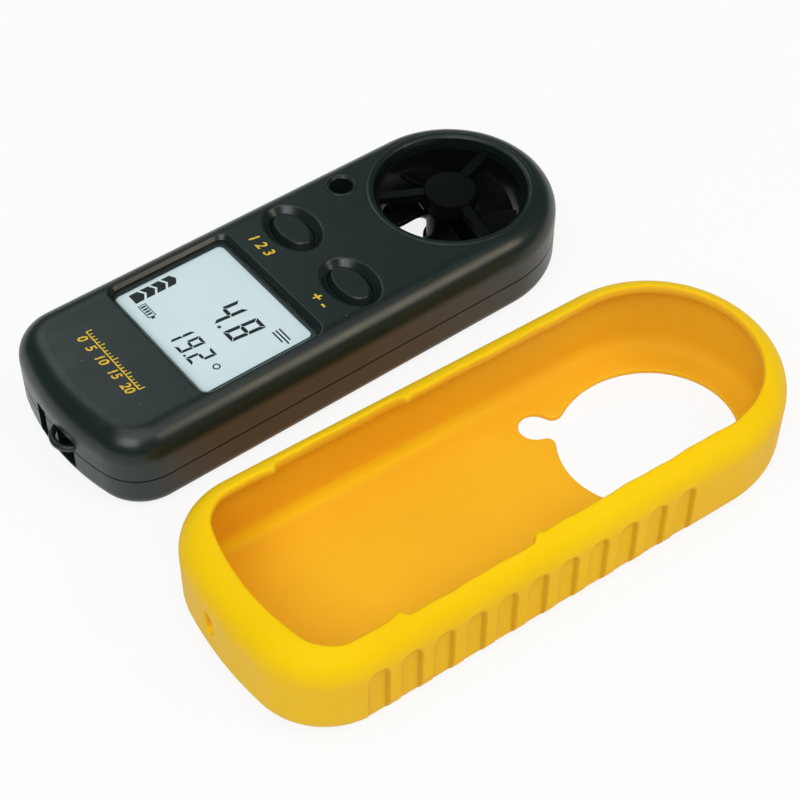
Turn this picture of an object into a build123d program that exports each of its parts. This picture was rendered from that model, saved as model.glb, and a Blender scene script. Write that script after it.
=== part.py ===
from build123d import *
import os
from math import atan, atan2, cos, degrees, pi, radians, sin, sqrt

# Pocket vane weather meter with its soft boot lying beside it. Millimetres.
# Origin: centre of the meter's flat back. +X towards the duct end, +Z out of the display.

# ---- case ----
LENGTH = 107.0              # end wall to duct end
WIDTH = 40.0
HEIGHT = 16.0
SEAM_Z = 7.0                # parting line between the two shells
WALL = 1.8
CORNER_R = 9.2              # plan corners of the flat end
BULGE_R = 51.0              # the flat end bows outwards at this radius
FACE_EDGE_R = 5.0           # soft edge around the display face
BACK_EDGE_R = 2.6
TOP_X = 52.5                # duct end
END_X = TOP_X - LENGTH      # end wall
DUCT_X = TOP_X - WIDTH / 2  # duct axis, also the centre of the round end
CEILING_Z = HEIGHT - 2.0    # inside of the face wall
SEAM_GROOVE = 0.3           # shadow line at the parting line
TONGUE_IN, TONGUE_OUT = 1.05, 1.75
TONGUE_H = 1.0
RIM_R = 0.5                 # softened edges of the openings in the face

# ---- display ----
WINDOW_X = -20.75
WINDOW_L, WINDOW_W = 25.8, 32.2     # opening in the face, along X and Y
WINDOW_BEVEL = 0.8
WINDOW_CORNER_R = 2.2
WINDOW_TOP = HEIGHT - 1.1
LENS_L, LENS_W = 26.8, 32.6
LENS_GAP = 0.1
LCD_TOP = CEILING_Z - 0.2
LCD_T = 1.5                         # two glass plates
LCD_X0, LCD_X1, LCD_HALF_W = -36.4, -7.2, 15.7
LCD_LEDGE = 2.2                     # how far the lower plate sticks out for its contacts
LIGHT_X0, LIGHT_X1, LIGHT_HALF_W = -33.9, -8.5, 14.8
LIGHT_Z = 10.6
STRIP_X0, STRIP_X1, STRIP_HALF_W = -36.3, -34.9, 13.0
HOLDER_X0, HOLDER_X1, HOLDER_HALF_W = -38.2, -5.6, 17.2
HOLDER_GAP = 0.1

# ---- keys ----
KEY_X, KEY_Y = 2.55, 8.9
KEY_TRAVEL = 0.8
KEY_CAP = (2.6, 4.65)       # half sizes of each oval: top of the cap
KEY_SKIRT = (3.3, 5.35)     # the cap where it enters the case
KEY_FLANGE = (4.1, 6.15)
KEY_DISH = (4.85, 6.85)
KEY_HOLE_GAP = 0.2
DISH_DEPTH = 1.3
DISH_SLOPE = 1.25           # how far the dish wall leans inwards
PAD_Z = HEIGHT - 2.5        # underside of the wall that a key stops against
PAD_MARGIN = 0.7
FLANGE_T = 0.85
KEY_REST_GAP = 0.05
SWITCH_HALF, SWITCH_H = 3.0, 2.3
PLUNGER_R, PLUNGER_FOOT_R = 1.1, 1.6
PLUNGER_Z = 1.4             # foot of the plunger above the board, at rest

# ---- air duct ----
MOUTH_R = 14.4              # opening in both shells
SLEEVE_IN_R, SLEEVE_OUT_R = 13.4, 14.95
COLLAR_IN_R, COLLAR_OUT_R = 15.05, 16.3
GUARD_TOP, GUARD_SEAT = CEILING_Z - 0.05, HEIGHT - 3.6
BACK_GUARD_BOTTOM, BACK_GUARD_SEAT = 1.85, 3.8
HUB_R = 5.0
HUB_EDGE_R = 0.6
HUB_TOP, HUB_LOW = HEIGHT - 0.3, 0.5
FRONT_SPOKES = (23.3, 143.3, 263.3)
BACK_SPOKES = (78, 180, 276)
SPOKE_W = 1.9
BUSH_R = 1.6
FRONT_BUSH_Z = (GUARD_SEAT + 0.2, GUARD_SEAT + 2.1)
BACK_BUSH_Z = (1.7, 3.7)
SHAFT_R = 0.6
SHAFT_Z = (1.75, GUARD_SEAT + 2.0)
SHAFT_GAP = 0.05

# ---- impeller ----
BLADES = 5
FIRST_BLADE = 59.0          # degrees, where the wheel rests
BLADE_TIP_R = 12.7
ROTOR_HUB_R = 4.4
ROTOR_HUB_Z = (4.3, GUARD_SEAT - 0.4)
ROTOR_EDGE_R = 0.9
BLADE_Z0, BLADE_Z1 = 4.65, GUARD_SEAT - 1.05
# radius, lean from upright, thickness
BLADE_SECTIONS = ((3.6, 32, 1.2), (6.7, 58.5, 1.12), (9.9, 68.5, 1.05), (13.0, 61.5, 1.0))
MAGNET_R = 3.0
MAGNET_Z = (4.35, 6.35)

# ---- temperature sensor ----
SENSOR_X, SENSOR_Y = 16.6, 12.9
SENSOR_R, SENSOR_TUBE_R = 2.1, 2.9
BEAD_R, BEAD_Z = 1.0, 12.0
LEAD_R, LEAD_SPREAD = 0.15, 0.3
LEAD_SLOT_HALF_W = 0.7

# ---- circuit board ----
BOARD_Z0, BOARD_Z1 = 7.4, 9.0
BOARD_X0, BOARD_X1 = -49.3, 13.4
BOARD_SCREWS = ((-40.9, 15.2), (-40.9, -15.2), (9.8, 8.8), (9.8, -8.8))
CASE_SCREWS = ((-46.5, 12.5), (-46.5, -12.5), (12.0, 15.7), (12.0, -15.7))
BOSS_R = 2.1
POST_R = 1.5
CASE_SCREW_R, CASE_SCREW_HEAD_R = 0.85, 1.7
BOARD_SCREW_R, BOARD_SCREW_HEAD_R = 0.7, 1.4
BLOB_R, BLOB_H = 4.5, 1.1   # resin over the controller chip
CRYSTAL_X, CRYSTAL_R, CRYSTAL_L = 3.5, 1.0, 6.0
CAPACITORS = ((-2.0, 12.5), (-2.0, -12.5), (1.0, 5.5), (1.0, -5.5), (-42.0, 3.0), (-42.0, -3.0))

# ---- battery ----
BATTERY_X = -22.0
CELL_R, CELL_T = 10.0, 3.2
CELL_CAP_R, CELL_CAP_H = 8.8, 0.5
CELL_Z = 2.75
COVER_R, COVER_BOSS_R = 12.22, 11.32
COVER_RIM_T = 0.95
COVER_TOP = CELL_Z - 0.1
COVER_GAP = 0.08
COIN_SLOT_L, COIN_SLOT_W, COIN_SLOT_DEPTH = 13.0, 1.7, 0.9
LUG_R = 12.5
LUG_WIDTH, GATE_WIDTH = 28, 36      # degrees
LUG_TURN = 60               # from locked to free
HOLDER_RING_IN, HOLDER_RING_OUT = 10.15, 11.1
WELL_IN, WELL_OUT = 13.0, 14.0
LEAF_T = 0.25

# ---- lanyard bar in the end wall ----
RECESS_HALF_W = 5.8
RECESS_X = -51.6
RECESS_Z0, RECESS_Z1 = 2.4, 9.4
RECESS_WALL = 1.4
POST_Y = (0.3, 4.0)         # post that divides the recess
POST_X = -53.9
BAR_Y = (-6.5, 0.9)         # ends of the bar, rooted in the post and in the side of the recess
BAR_Z0, BAR_Z1 = 7.0, 8.2
BAR_T = 1.15
BAR_BOW = 2.1               # how far the bar stands out past the end wall

# ---- soft boot ----
BOOT_WIDTH = 44.7
BOOT_HEIGHT = 18.2
BOOT_TOP_X, BOOT_END_X = 54.65, -56.65
BOOT_CORNER_R, BOOT_BULGE_R = 14.1, 69.0
BOOT_FIT = 0.25             # pocket larger than the case all round
BOOT_FLOOR = 1.1
BOOT_LIP = 2.4              # how far the lip reaches over the face
BOOT_END_LIP = 3.8          # the same at the flat end
BOOT_LIP_NOTCH = 0.8        # cut back beside the display
BOOT_NOTCH_X = (-33.7, -8.6)
BOOT_RIM_R, BOOT_BASE_R = 5.2, 4.4
BOOT_PLACE = (-0.65, -56.55)
BOOT_YAW = -2.3
BOOT_HOLE = (30.8, -1.6)
BOOT_HOLE_R = (16.8, 15.25)
BOOT_KEYHOLE = (15.8, 11.6)     # hole for the temperature sensor, joined to the duct's by a neck
BOOT_KEYHOLE_R = 2.9
BOOT_NECK_W, BOOT_NECK_R = 4.7, 1.6
BOOT_SLOT = (5.0, 2.4)          # upright slot in the end wall for the lanyard
BOOT_SLOT_Y, BOOT_SLOT_Z = 2.6, 9.8
GRIPS = 11
GRIP_PITCH = 6.15
GRIP_X0 = -41.3
GRIP_W, GRIP_DEPTH, GRIP_TOP = 3.8, 0.7, 13.6

os.makedirs("parts", exist_ok=True)


# ---------------------------------------------------------------- helpers
def plan(half, top_x, end_x, corner_r, bulge_r):
    """Face with one round end, two straight sides and a bowed end with round corners."""
    bow_x = end_x + bulge_r
    corner_y = half - corner_r
    reach = bulge_r - corner_r
    corner_x = bow_x - sqrt(reach**2 - corner_y**2)
    meet = (bow_x + (corner_x - bow_x) * bulge_r / reach, corner_y * bulge_r / reach)
    top_c = top_x - half
    turn = (atan(corner_y / (bow_x - corner_x)) + pi / 2) / 2
    mid = (corner_x - corner_r * cos(turn), corner_y + corner_r * sin(turn))
    edges = [
        Line((corner_x, -half), (top_c, -half)),
        ThreePointArc((top_c, -half), (top_x, 0), (top_c, half)),
        Line((top_c, half), (corner_x, half)),
        ThreePointArc((corner_x, half), mid, meet),
        ThreePointArc(meet, (end_x, 0), (meet[0], -meet[1])),
        ThreePointArc((meet[0], -meet[1]), (mid[0], -mid[1]), (corner_x, -half)),
    ]
    return Face(Wire(edges))


def case_plan(inset):
    """The case outline moved inwards by inset."""
    return plan(WIDTH / 2 - inset, TOP_X - inset, END_X + inset, CORNER_R - inset, BULGE_R - inset)


def prism(face, z0, z1):
    return extrude(Pos(0, 0, z0) * face, amount=z1 - z0, dir=(0, 0, 1))


def rod(radius, z0, z1, x=0.0, y=0.0):
    return Pos(x, y, z0) * Cylinder(radius, z1 - z0, align=(Align.CENTER, Align.CENTER, Align.MIN))


def tube(outer, inner, z0, z1, x=0.0, y=0.0):
    return rod(outer, z0, z1, x, y) - rod(inner, z0 - 1, z1 + 1, x, y)


def block(x0, x1, y0, y1, z0, z1):
    corner = (Align.MIN, Align.MIN, Align.MIN)
    return Pos(x0, y0, z0) * Box(x1 - x0, y1 - y0, z1 - z0, align=corner)


def oval(half, z0, z1, x=0.0, y=0.0):
    return prism(Pos(x, y) * Ellipse(half[0], half[1]), z0, z1)


def grown(half, amount):
    return (half[0] + amount, half[1] + amount)


def soften_top(solid, radius):
    return fillet(solid.faces().sort_by(Axis.Z)[-1].outer_wire().edges(), radius)


def soften_bottom(solid, radius):
    return fillet(solid.faces().sort_by(Axis.Z)[0].outer_wire().edges(), radius)


def key_places():
    return ((KEY_X, KEY_Y), (KEY_X, -KEY_Y))


def group(solids):
    return Compound(children=list(solids))


# ---------------------------------------------------------------- case shells
def window_opening():
    """Bevelled opening for the display, with a seat under it for the window's edge."""
    size = (WINDOW_L, WINDOW_W)
    inner = (size[0] - 2 * WINDOW_BEVEL, size[1] - 2 * WINDOW_BEVEL)
    mouth = Pos(WINDOW_X, 0, HEIGHT) * RectangleRounded(*size, WINDOW_CORNER_R)
    throat = RectangleRounded(*inner, WINDOW_CORNER_R - WINDOW_BEVEL / 2)
    bevel = loft([mouth, Pos(WINDOW_X, 0, HEIGHT - WINDOW_BEVEL) * throat])
    shaft = prism(Pos(WINDOW_X, 0) * throat, CEILING_Z - 1, HEIGHT - WINDOW_BEVEL + 0.01)
    seat = (LENS_L + 2 * LENS_GAP, LENS_W + 2 * LENS_GAP)
    seat_plan = Pos(WINDOW_X, 0) * RectangleRounded(*seat, WINDOW_CORNER_R)
    return bevel + shaft + prism(seat_plan, CEILING_Z - 1, WINDOW_TOP)


def key_dish(x, y):
    """Sunken oval around a key, with the key's hole in its bottom."""
    floor_z = HEIGHT - DISH_DEPTH
    mouth = Pos(x, y, HEIGHT) * Ellipse(*KEY_DISH)
    bottom = Pos(x, y, floor_z) * Ellipse(*grown(KEY_DISH, -DISH_SLOPE))
    return loft([mouth, bottom]) + oval(grown(KEY_SKIRT, KEY_HOLE_GAP), PAD_Z - 1, floor_z + 0.1, x, y)


def recess_cut():
    """Space around the lanyard bar."""
    return block(END_X - 3, RECESS_X, -RECESS_HALF_W, RECESS_HALF_W, RECESS_Z0, RECESS_Z1)


def recess_wall(z0, z1):
    """Wall that closes the recess off from the inside of the case."""
    side = RECESS_HALF_W + RECESS_WALL
    return block(END_X + WALL / 2, RECESS_X + RECESS_WALL, -side, side, z0, z1)


def front_bosses():
    bosses = [rod(BOSS_R, SEAM_Z, CEILING_Z + 0.5, x, y) for x, y in CASE_SCREWS]
    posts = [rod(POST_R, BOARD_Z1, CEILING_Z + 0.5, x, y) for x, y in BOARD_SCREWS]
    return bosses + posts


def lead_slot():
    """Slot in the side of the sensor tube that lets the bead's leads out."""
    y0, y1 = SENSOR_Y - LEAD_SLOT_HALF_W, SENSOR_Y + LEAD_SLOT_HALF_W
    return block(SENSOR_X - 4, SENSOR_X - 1.5, y0, y1, SEAM_Z, BEAD_Z + 0.6)


def opening_rims(shell):
    """Edges around the openings in the face."""
    window = (WINDOW_X, 0, WINDOW_L / 2, WINDOW_W / 2)
    round_ones = [(DUCT_X, 0, MOUTH_R, MOUTH_R), (SENSOR_X, SENSOR_Y, SENSOR_R, SENSOR_R)]
    areas = [window, *round_ones, *[(x, y, *KEY_DISH) for x, y in key_places()]]
    rims = []
    for edge in shell.edges().filter_by(lambda e: (e @ 0.5).Z > HEIGHT - RIM_R):
        middle = edge @ 0.5
        if any(abs(middle.X - x) < a + 0.1 and abs(middle.Y - y) < b + 0.1 for x, y, a, b in areas):
            rims.append(edge)
    return rims


def front_case():
    shell = soften_top(prism(case_plan(0), SEAM_Z, HEIGHT), FACE_EDGE_R)
    hollow = soften_top(prism(case_plan(WALL), SEAM_Z - 1, CEILING_Z), FACE_EDGE_R - WALL)
    shell -= hollow
    shell += recess_wall(SEAM_Z, RECESS_Z1 + RECESS_WALL) & prism(case_plan(WALL / 2), SEAM_Z, CEILING_Z)
    shell += tube(COLLAR_OUT_R, COLLAR_IN_R, SEAM_Z + 1, CEILING_Z + 0.5, DUCT_X)
    shell += rod(SENSOR_TUBE_R, SEAM_Z + 1, CEILING_Z + 0.5, SENSOR_X, SENSOR_Y)
    for boss in front_bosses():
        shell += boss
    for x, y in key_places():
        shell += oval(grown(KEY_DISH, PAD_MARGIN), PAD_Z, CEILING_Z + 0.2, x, y)
    cuts = [window_opening(), recess_cut()]
    cuts += [key_dish(x, y) for x, y in key_places()]
    cuts += [rod(MOUTH_R, SEAM_Z, HEIGHT + 1, DUCT_X), rod(SLEEVE_OUT_R, SEAM_Z, CEILING_Z, DUCT_X)]
    cuts.append(rod(SENSOR_R, SEAM_Z, HEIGHT + 1, SENSOR_X, SENSOR_Y))
    cuts.append(lead_slot())
    cuts += [rod(CASE_SCREW_R + 0.02, SEAM_Z - 1, 12.6, x, y) for x, y in CASE_SCREWS]
    cuts += [rod(BOARD_SCREW_R + 0.02, BOARD_Z1 - 1, 12.0, x, y) for x, y in BOARD_SCREWS]
    rabbet = prism(case_plan(TONGUE_IN - 0.05), SEAM_Z - 1, SEAM_Z + TONGUE_H + 0.1)
    cuts.append(rabbet - prism(case_plan(WALL), SEAM_Z - 2, SEAM_Z + 3))
    for cut in cuts:
        shell -= cut
    shell = fillet(opening_rims(shell), RIM_R)
    return shell + recess_post(SEAM_Z, RECESS_Z1 + 0.1) + lanyard_bar()


def lanyard_bar():
    """Round-edged bar that bows outwards from the post to the side of the recess."""
    low, high = BAR_Y
    middle = (low + high) / 2
    root_x = END_X + 1.0
    bow_x = END_X - BAR_BOW
    outer = ThreePointArc((root_x, low), (bow_x, middle), (root_x, high))
    inner = ThreePointArc((root_x, high - BAR_T), (bow_x + BAR_T, middle), (root_x, low + BAR_T))
    ends = [Line((root_x, high), (root_x, high - BAR_T)), Line((root_x, low + BAR_T), (root_x, low))]
    band = prism(Face(Wire([outer, ends[0], inner, ends[1]])), BAR_Z0, BAR_Z1)
    curved = band.edges().filter_by(GeomType.CIRCLE)
    return fillet(curved, 0.45)


def recess_post(z0, z1):
    """Post that stands in the recess, a little behind the end wall."""
    return block(POST_X, RECESS_X + 0.5, *POST_Y, z0, z1)


def sector(outer, inner, z0, z1, angle, width):
    """Piece of a ring, width degrees wide, about angle."""
    wedge = Polyline(
        (0, 0),
        (2 * outer * cos(radians(width / 2)), -2 * outer * sin(radians(width / 2))),
        (2 * outer * cos(radians(width / 2)), 2 * outer * sin(radians(width / 2))),
        (0, 0),
    )
    return Rot(0, 0, angle) * (tube(outer, inner, z0, z1) & prism(Face(Wire(wedge.edges())), z0, z1))


def cover_opening():
    """Seat of the battery cover: rim recess, throat, and gates that let its lugs through."""
    cut = rod(COVER_R + COVER_GAP, -1, 1.0) + rod(COVER_BOSS_R + COVER_GAP, 0, WALL + 1)
    for step in range(3):
        angle = 120 * step + LUG_TURN
        cut += sector(LUG_R + 0.15, COVER_BOSS_R - 1, 0.5, WALL + 1, angle, GATE_WIDTH)
    return Pos(BATTERY_X, 0, 0) * cut


def rear_case():
    shell = soften_bottom(prism(case_plan(0), 0, SEAM_Z), BACK_EDGE_R)
    hollow = soften_bottom(prism(case_plan(WALL), WALL, SEAM_Z + 3), BACK_EDGE_R - WALL)
    shell -= hollow
    tongue = prism(case_plan(TONGUE_IN), SEAM_Z - 1, SEAM_Z + TONGUE_H)
    shell += tongue - prism(case_plan(TONGUE_OUT), SEAM_Z - 2, SEAM_Z + 3)
    shell += recess_wall(WALL / 2, SEAM_Z) & prism(case_plan(WALL / 2), 0, SEAM_Z)
    shell += tube(COLLAR_OUT_R, COLLAR_IN_R, WALL / 2, SEAM_Z, DUCT_X)
    shell += rod(SENSOR_TUBE_R, WALL / 2, SEAM_Z + 0.9, SENSOR_X, SENSOR_Y)
    shell += tube(WELL_OUT, WELL_IN, WALL / 2, 6.5, BATTERY_X)
    for x, y in CASE_SCREWS:
        shell += rod(BOSS_R + 0.2, WALL / 2, SEAM_Z - 0.05, x, y)
    cuts = [recess_cut(), cover_opening()]
    cuts += [rod(MOUTH_R, -1, 3, DUCT_X), rod(SLEEVE_OUT_R, WALL, SEAM_Z, DUCT_X)]
    cuts.append(rod(SENSOR_R, -1, SEAM_Z + 2, SENSOR_X, SENSOR_Y))
    cuts.append(block(DUCT_X - 17, DUCT_X - 14, -0.8, 0.8, 3.0, 4.1))
    for x, y in CASE_SCREWS:
        cuts += [rod(CASE_SCREW_R + 0.25, -1, SEAM_Z + 1, x, y), rod(CASE_SCREW_HEAD_R + 0.2, -1, 2.2, x, y)]
    groove = prism(case_plan(-1), SEAM_Z - SEAM_GROOVE, SEAM_Z)
    cuts.append(groove - prism(case_plan(SEAM_GROOVE), SEAM_Z - 1, SEAM_Z + 1))
    for cut in cuts:
        shell -= cut
    return shell + recess_post(RECESS_Z0 - 0.1, SEAM_Z - SEAM_GROOVE)


def case_screws():
    """Four pan-head screws that clamp the rear shell to the bosses of the front shell."""
    one = rod(CASE_SCREW_HEAD_R, 0.95, 2.15) + rod(CASE_SCREW_R, 2.0, 12.0) - rod(0.45, 0.5, 1.5)
    return group([Pos(x, y, 0) * one for x, y in CASE_SCREWS])


# ---------------------------------------------------------------- display
def display_window():
    lens_plan = Pos(WINDOW_X, 0) * RectangleRounded(LENS_L, LENS_W, WINDOW_CORNER_R)
    return prism(lens_plan, CEILING_Z, WINDOW_TOP - 0.03)


def lcd_panel():
    """Two glass plates: the lower one is longer, and its ledge carries the contacts."""
    lower = block(LCD_X0, LCD_X1, -LCD_HALF_W, LCD_HALF_W, LCD_TOP - LCD_T, LCD_TOP - LCD_T / 2)
    upper = block(LCD_X0 + LCD_LEDGE, LCD_X1, -LCD_HALF_W, LCD_HALF_W, LCD_TOP - LCD_T / 2, LCD_TOP)
    return lower + upper


def backlight_panel():
    return block(LIGHT_X0, LIGHT_X1, -LIGHT_HALF_W, LIGHT_HALF_W, LIGHT_Z, LCD_TOP - LCD_T - 0.05)


def zebra_strip():
    return block(STRIP_X0, STRIP_X1, -STRIP_HALF_W, STRIP_HALF_W, BOARD_Z1, LCD_TOP - LCD_T)


def lcd_holder():
    """Frame between the board and the face: pockets for the glass, the light guide and the strip."""
    body = block(HOLDER_X0, HOLDER_X1, -HOLDER_HALF_W, HOLDER_HALF_W, BOARD_Z1, LCD_TOP + 0.07)
    glass_z = LCD_TOP - LCD_T
    pockets = (
        (LCD_X0, LCD_X1, LCD_HALF_W, glass_z, LCD_TOP + 1),
        (LIGHT_X0, LIGHT_X1, LIGHT_HALF_W, BOARD_Z1 - 1, glass_z + 0.1),
        (STRIP_X0, STRIP_X1, STRIP_HALF_W, BOARD_Z1 - 1, glass_z + 0.1),
    )
    for x0, x1, half_w, z0, z1 in pockets:
        side = half_w + HOLDER_GAP
        body -= block(x0 - HOLDER_GAP, x1 + HOLDER_GAP, -side, side, z0, z1)
    for x, y in BOARD_SCREWS + CASE_SCREWS:
        body -= rod(BOSS_R + 0.3, BOARD_Z1 - 1, LCD_TOP + 1, x, y)
    room = soften_top(prism(case_plan(WALL + 0.15), BOARD_Z1, CEILING_Z), FACE_EDGE_R - WALL)
    return body & room


# ---------------------------------------------------------------- circuit board
def main_board():
    board = prism(case_plan(WALL + 0.6), BOARD_Z0, BOARD_Z1)
    board &= block(BOARD_X0, BOARD_X1, -WIDTH, WIDTH, BOARD_Z0 - 1, BOARD_Z1 + 1)
    for x, y in CASE_SCREWS:
        board -= rod(BOSS_R + 0.4, 0, HEIGHT, x, y)
    for x, y in BOARD_SCREWS:
        board -= rod(BOARD_SCREW_R + 0.25, 0, HEIGHT, x, y)
    return board


def board_screws():
    one = rod(BOARD_SCREW_HEAD_R, BOARD_Z0 - 0.9, BOARD_Z0) + rod(BOARD_SCREW_R, BOARD_Z0 - 0.5, 11.8)
    return group([Pos(x, y, 0) * one for x, y in BOARD_SCREWS])


def controller_chip():
    """Resin blob over the bare controller chip."""
    blob = rod(BLOB_R, BOARD_Z1, BOARD_Z1 + BLOB_H, WINDOW_X)
    return soften_top(blob, BLOB_H - 0.1)


def clock_crystal():
    return Pos(CRYSTAL_X, 0, BOARD_Z0 - CRYSTAL_R - 0.05) * Rot(0, 90, 0) * Cylinder(CRYSTAL_R, CRYSTAL_L)


def board_capacitors():
    return group([block(x - 1, x + 1, y - 0.6, y + 0.6, BOARD_Z0 - 0.9, BOARD_Z0) for x, y in CAPACITORS])


def key_switch(x, y):
    """Switch housing with a well that lets the plunger's foot sink by the key's travel."""
    half = SWITCH_HALF
    body = block(x - half, x + half, y - half, y + half, BOARD_Z1, BOARD_Z1 + SWITCH_H)
    well = rod(PLUNGER_FOOT_R + 0.1, PLUNGER_Z - KEY_TRAVEL - 0.15, PLUNGER_Z + 0.45)
    return body - Pos(x, y, BOARD_Z1) * (well + rod(PLUNGER_R + 0.1, PLUNGER_Z, SWITCH_H + 1))


def key_plunger(x, y):
    foot_z = BOARD_Z1 + PLUNGER_Z
    top_z = PAD_Z - KEY_REST_GAP - FLANGE_T
    return rod(PLUNGER_FOOT_R, foot_z, foot_z + 0.4, x, y) + rod(PLUNGER_R, foot_z, top_z, x, y)


def key_button(x, y):
    """Oval cap with sloping sides, flush with the face, on a flange that stops it falling out."""
    flange_top = PAD_Z - KEY_REST_GAP
    skirt_top = HEIGHT - DISH_DEPTH - 0.1
    slope = loft([Pos(x, y, skirt_top) * Ellipse(*KEY_SKIRT), Pos(x, y, HEIGHT - 0.1) * Ellipse(*KEY_CAP)])
    cap = soften_top(oval(KEY_SKIRT, flange_top - 0.2, skirt_top, x, y) + slope, 0.5)
    return cap + oval(KEY_FLANGE, flange_top - FLANGE_T, flange_top, x, y)


# ---------------------------------------------------------------- battery
def coin_cell():
    can = rod(CELL_R, CELL_Z, CELL_Z + CELL_T - CELL_CAP_H, BATTERY_X)
    cap = rod(CELL_CAP_R, CELL_Z, CELL_Z + CELL_T, BATTERY_X)
    return fillet((can + cap).edges().group_by(Axis.Z)[0], 0.4)


def battery_holder():
    """Ring that centres the cell, slotted for the side contact."""
    ring = tube(HOLDER_RING_OUT, HOLDER_RING_IN, CELL_Z, BOARD_Z0 - 0.05, BATTERY_X)
    return ring - block(BATTERY_X - 12, BATTERY_X - 9, -2.3, 2.3, 0, BOARD_Z0)


def leaf(points, half_w):
    """Sheet-metal leaf: a closed outline in XZ, half_w wide each way in Y."""
    outline = Face(Wire(Polyline(*[(x, 0, z) for x, z in points + points[:1]]).edges()))
    return extrude(outline, amount=half_w, both=True)


def negative_contact():
    """Sprung leaf between the board and the middle of the cell."""
    top, low = BOARD_Z0, CELL_Z + CELL_T
    x0, x1, t = BATTERY_X - 6.0, BATTERY_X + 3.0, LEAF_T
    points = [(x0, top), (x0, top - t), (x0 + 2.4, top - t), (x1 - 1.5, low), (x1, low)]
    points += [(x1, low + t), (x1 - 1.4, low + t), (x0 + 2.5, top)]
    return leaf(points, 2.0)


def positive_contact():
    """Leaf that stands beside the cell and bears on its rim."""
    top, t = BOARD_Z0, LEAF_T
    x1 = BATTERY_X - CELL_R - 0.03
    points = [(x1 - 2.4, top), (x1, top), (x1, CELL_Z + 0.5), (x1 - t, CELL_Z + 0.5)]
    points += [(x1 - t, top - t), (x1 - 2.4, top - t)]
    return leaf(points, 1.9)


def battery_cover():
    """Round cover with a coin slot outside and three locking lugs inside."""
    cover = rod(COVER_R, 0.05, COVER_RIM_T) + rod(COVER_BOSS_R, 0.5, COVER_TOP)
    cover = fillet(cover.edges().group_by(Axis.Z)[0], 0.25)
    for step in range(3):
        cover += sector(LUG_R, COVER_BOSS_R - 1, WALL + COVER_GAP, COVER_TOP, 120 * step, LUG_WIDTH)
    cover -= prism(SlotOverall(COIN_SLOT_L, COIN_SLOT_W), -1, COIN_SLOT_DEPTH)
    return Pos(BATTERY_X, 0, 0) * cover


# ---------------------------------------------------------------- air duct
def spoke(profile, angle):
    """One arm of a guard: profile is radius and height pairs."""
    outline = Face(Wire(Polyline(*[(r, 0, z) for r, z in profile + profile[:1]]).edges()))
    arm = extrude(outline, amount=SPOKE_W / 2, both=True)
    return Rot(0, 0, angle) * arm


def front_guard():
    """Ring, three sloping arms and a round hub almost flush with the face."""
    guard = soften_top(rod(HUB_R, GUARD_SEAT, HUB_TOP), HUB_EDGE_R)
    guard += tube(SLEEVE_OUT_R, SLEEVE_IN_R, GUARD_SEAT, GUARD_TOP)
    root_z, tip_r = HUB_TOP - HUB_EDGE_R, SLEEVE_IN_R + 0.5
    profile = [(4.0, GUARD_SEAT + 0.7), (tip_r, GUARD_SEAT + 0.3), (tip_r, GUARD_TOP - 0.15)]
    profile += [(HUB_R - 0.1, root_z), (4.0, root_z)]
    for angle in FRONT_SPOKES:
        guard += spoke(profile, angle)
    guard -= rod(BUSH_R, GUARD_SEAT - 1, FRONT_BUSH_Z[1] + 0.2)
    return Pos(DUCT_X, 0, 0) * guard


def rear_guard():
    """Ring, three arms and a hub that also seats the speed sensor and its lead."""
    guard = soften_bottom(rod(HUB_R, HUB_LOW, BACK_GUARD_SEAT + 0.1), HUB_EDGE_R)
    guard += tube(SLEEVE_OUT_R, SLEEVE_IN_R, BACK_GUARD_BOTTOM, BACK_GUARD_SEAT)
    root_z, tip_r, arm_top = HUB_LOW + HUB_EDGE_R, SLEEVE_IN_R + 0.5, BACK_GUARD_SEAT - 0.2
    profile = [(4.0, root_z), (HUB_R - 0.1, root_z), (tip_r, BACK_GUARD_BOTTOM + 0.25)]
    profile += [(tip_r, arm_top), (4.0, arm_top)]
    for angle in BACK_SPOKES:
        guard += spoke(profile, angle)
    guard -= rod(BUSH_R, BACK_BUSH_Z[0] - 0.1, BACK_GUARD_SEAT + 1)
    guard -= block(-4.25, -2.15, -1.45, 1.45, 2.9, 5.0)
    guard -= block(-15.5, -4.0, -0.65, 0.65, 3.3, 5.0)
    return Pos(DUCT_X, 0, 0) * guard


def duct_sleeve():
    return tube(SLEEVE_OUT_R, SLEEVE_IN_R, BACK_GUARD_SEAT, GUARD_SEAT, DUCT_X)


def front_bearing():
    return tube(BUSH_R, SHAFT_R + SHAFT_GAP, *FRONT_BUSH_Z, DUCT_X)


def rear_bearing():
    return tube(BUSH_R, SHAFT_R + SHAFT_GAP, *BACK_BUSH_Z, DUCT_X)


def impeller_shaft():
    shaft = rod(SHAFT_R, *SHAFT_Z, DUCT_X)
    return chamfer(shaft.edges().filter_by(GeomType.CIRCLE), 0.2)


def rotor_magnet():
    return tube(MAGNET_R, SHAFT_R + 0.3, *MAGNET_Z, DUCT_X)


def blade(angle):
    """One pitched blade, lofted outwards from inside the hub and trimmed round at the tip."""
    height = BLADE_Z1 - BLADE_Z0
    sections = []
    for radius, lean, thickness in BLADE_SECTIONS:
        middle = Plane(origin=(radius, 0, (BLADE_Z0 + BLADE_Z1) / 2), x_dir=(0, 1, 0), z_dir=(1, 0, 0))
        chord = height / cos(radians(lean))
        sections.append(middle * (Rot(0, 0, 90 - lean) * SlotOverall(chord, thickness)))
    trimmed = loft(sections) & rod(BLADE_TIP_R, BLADE_Z0 - 1, BLADE_Z1 + 1)
    return Rot(0, 0, angle) * trimmed


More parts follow.
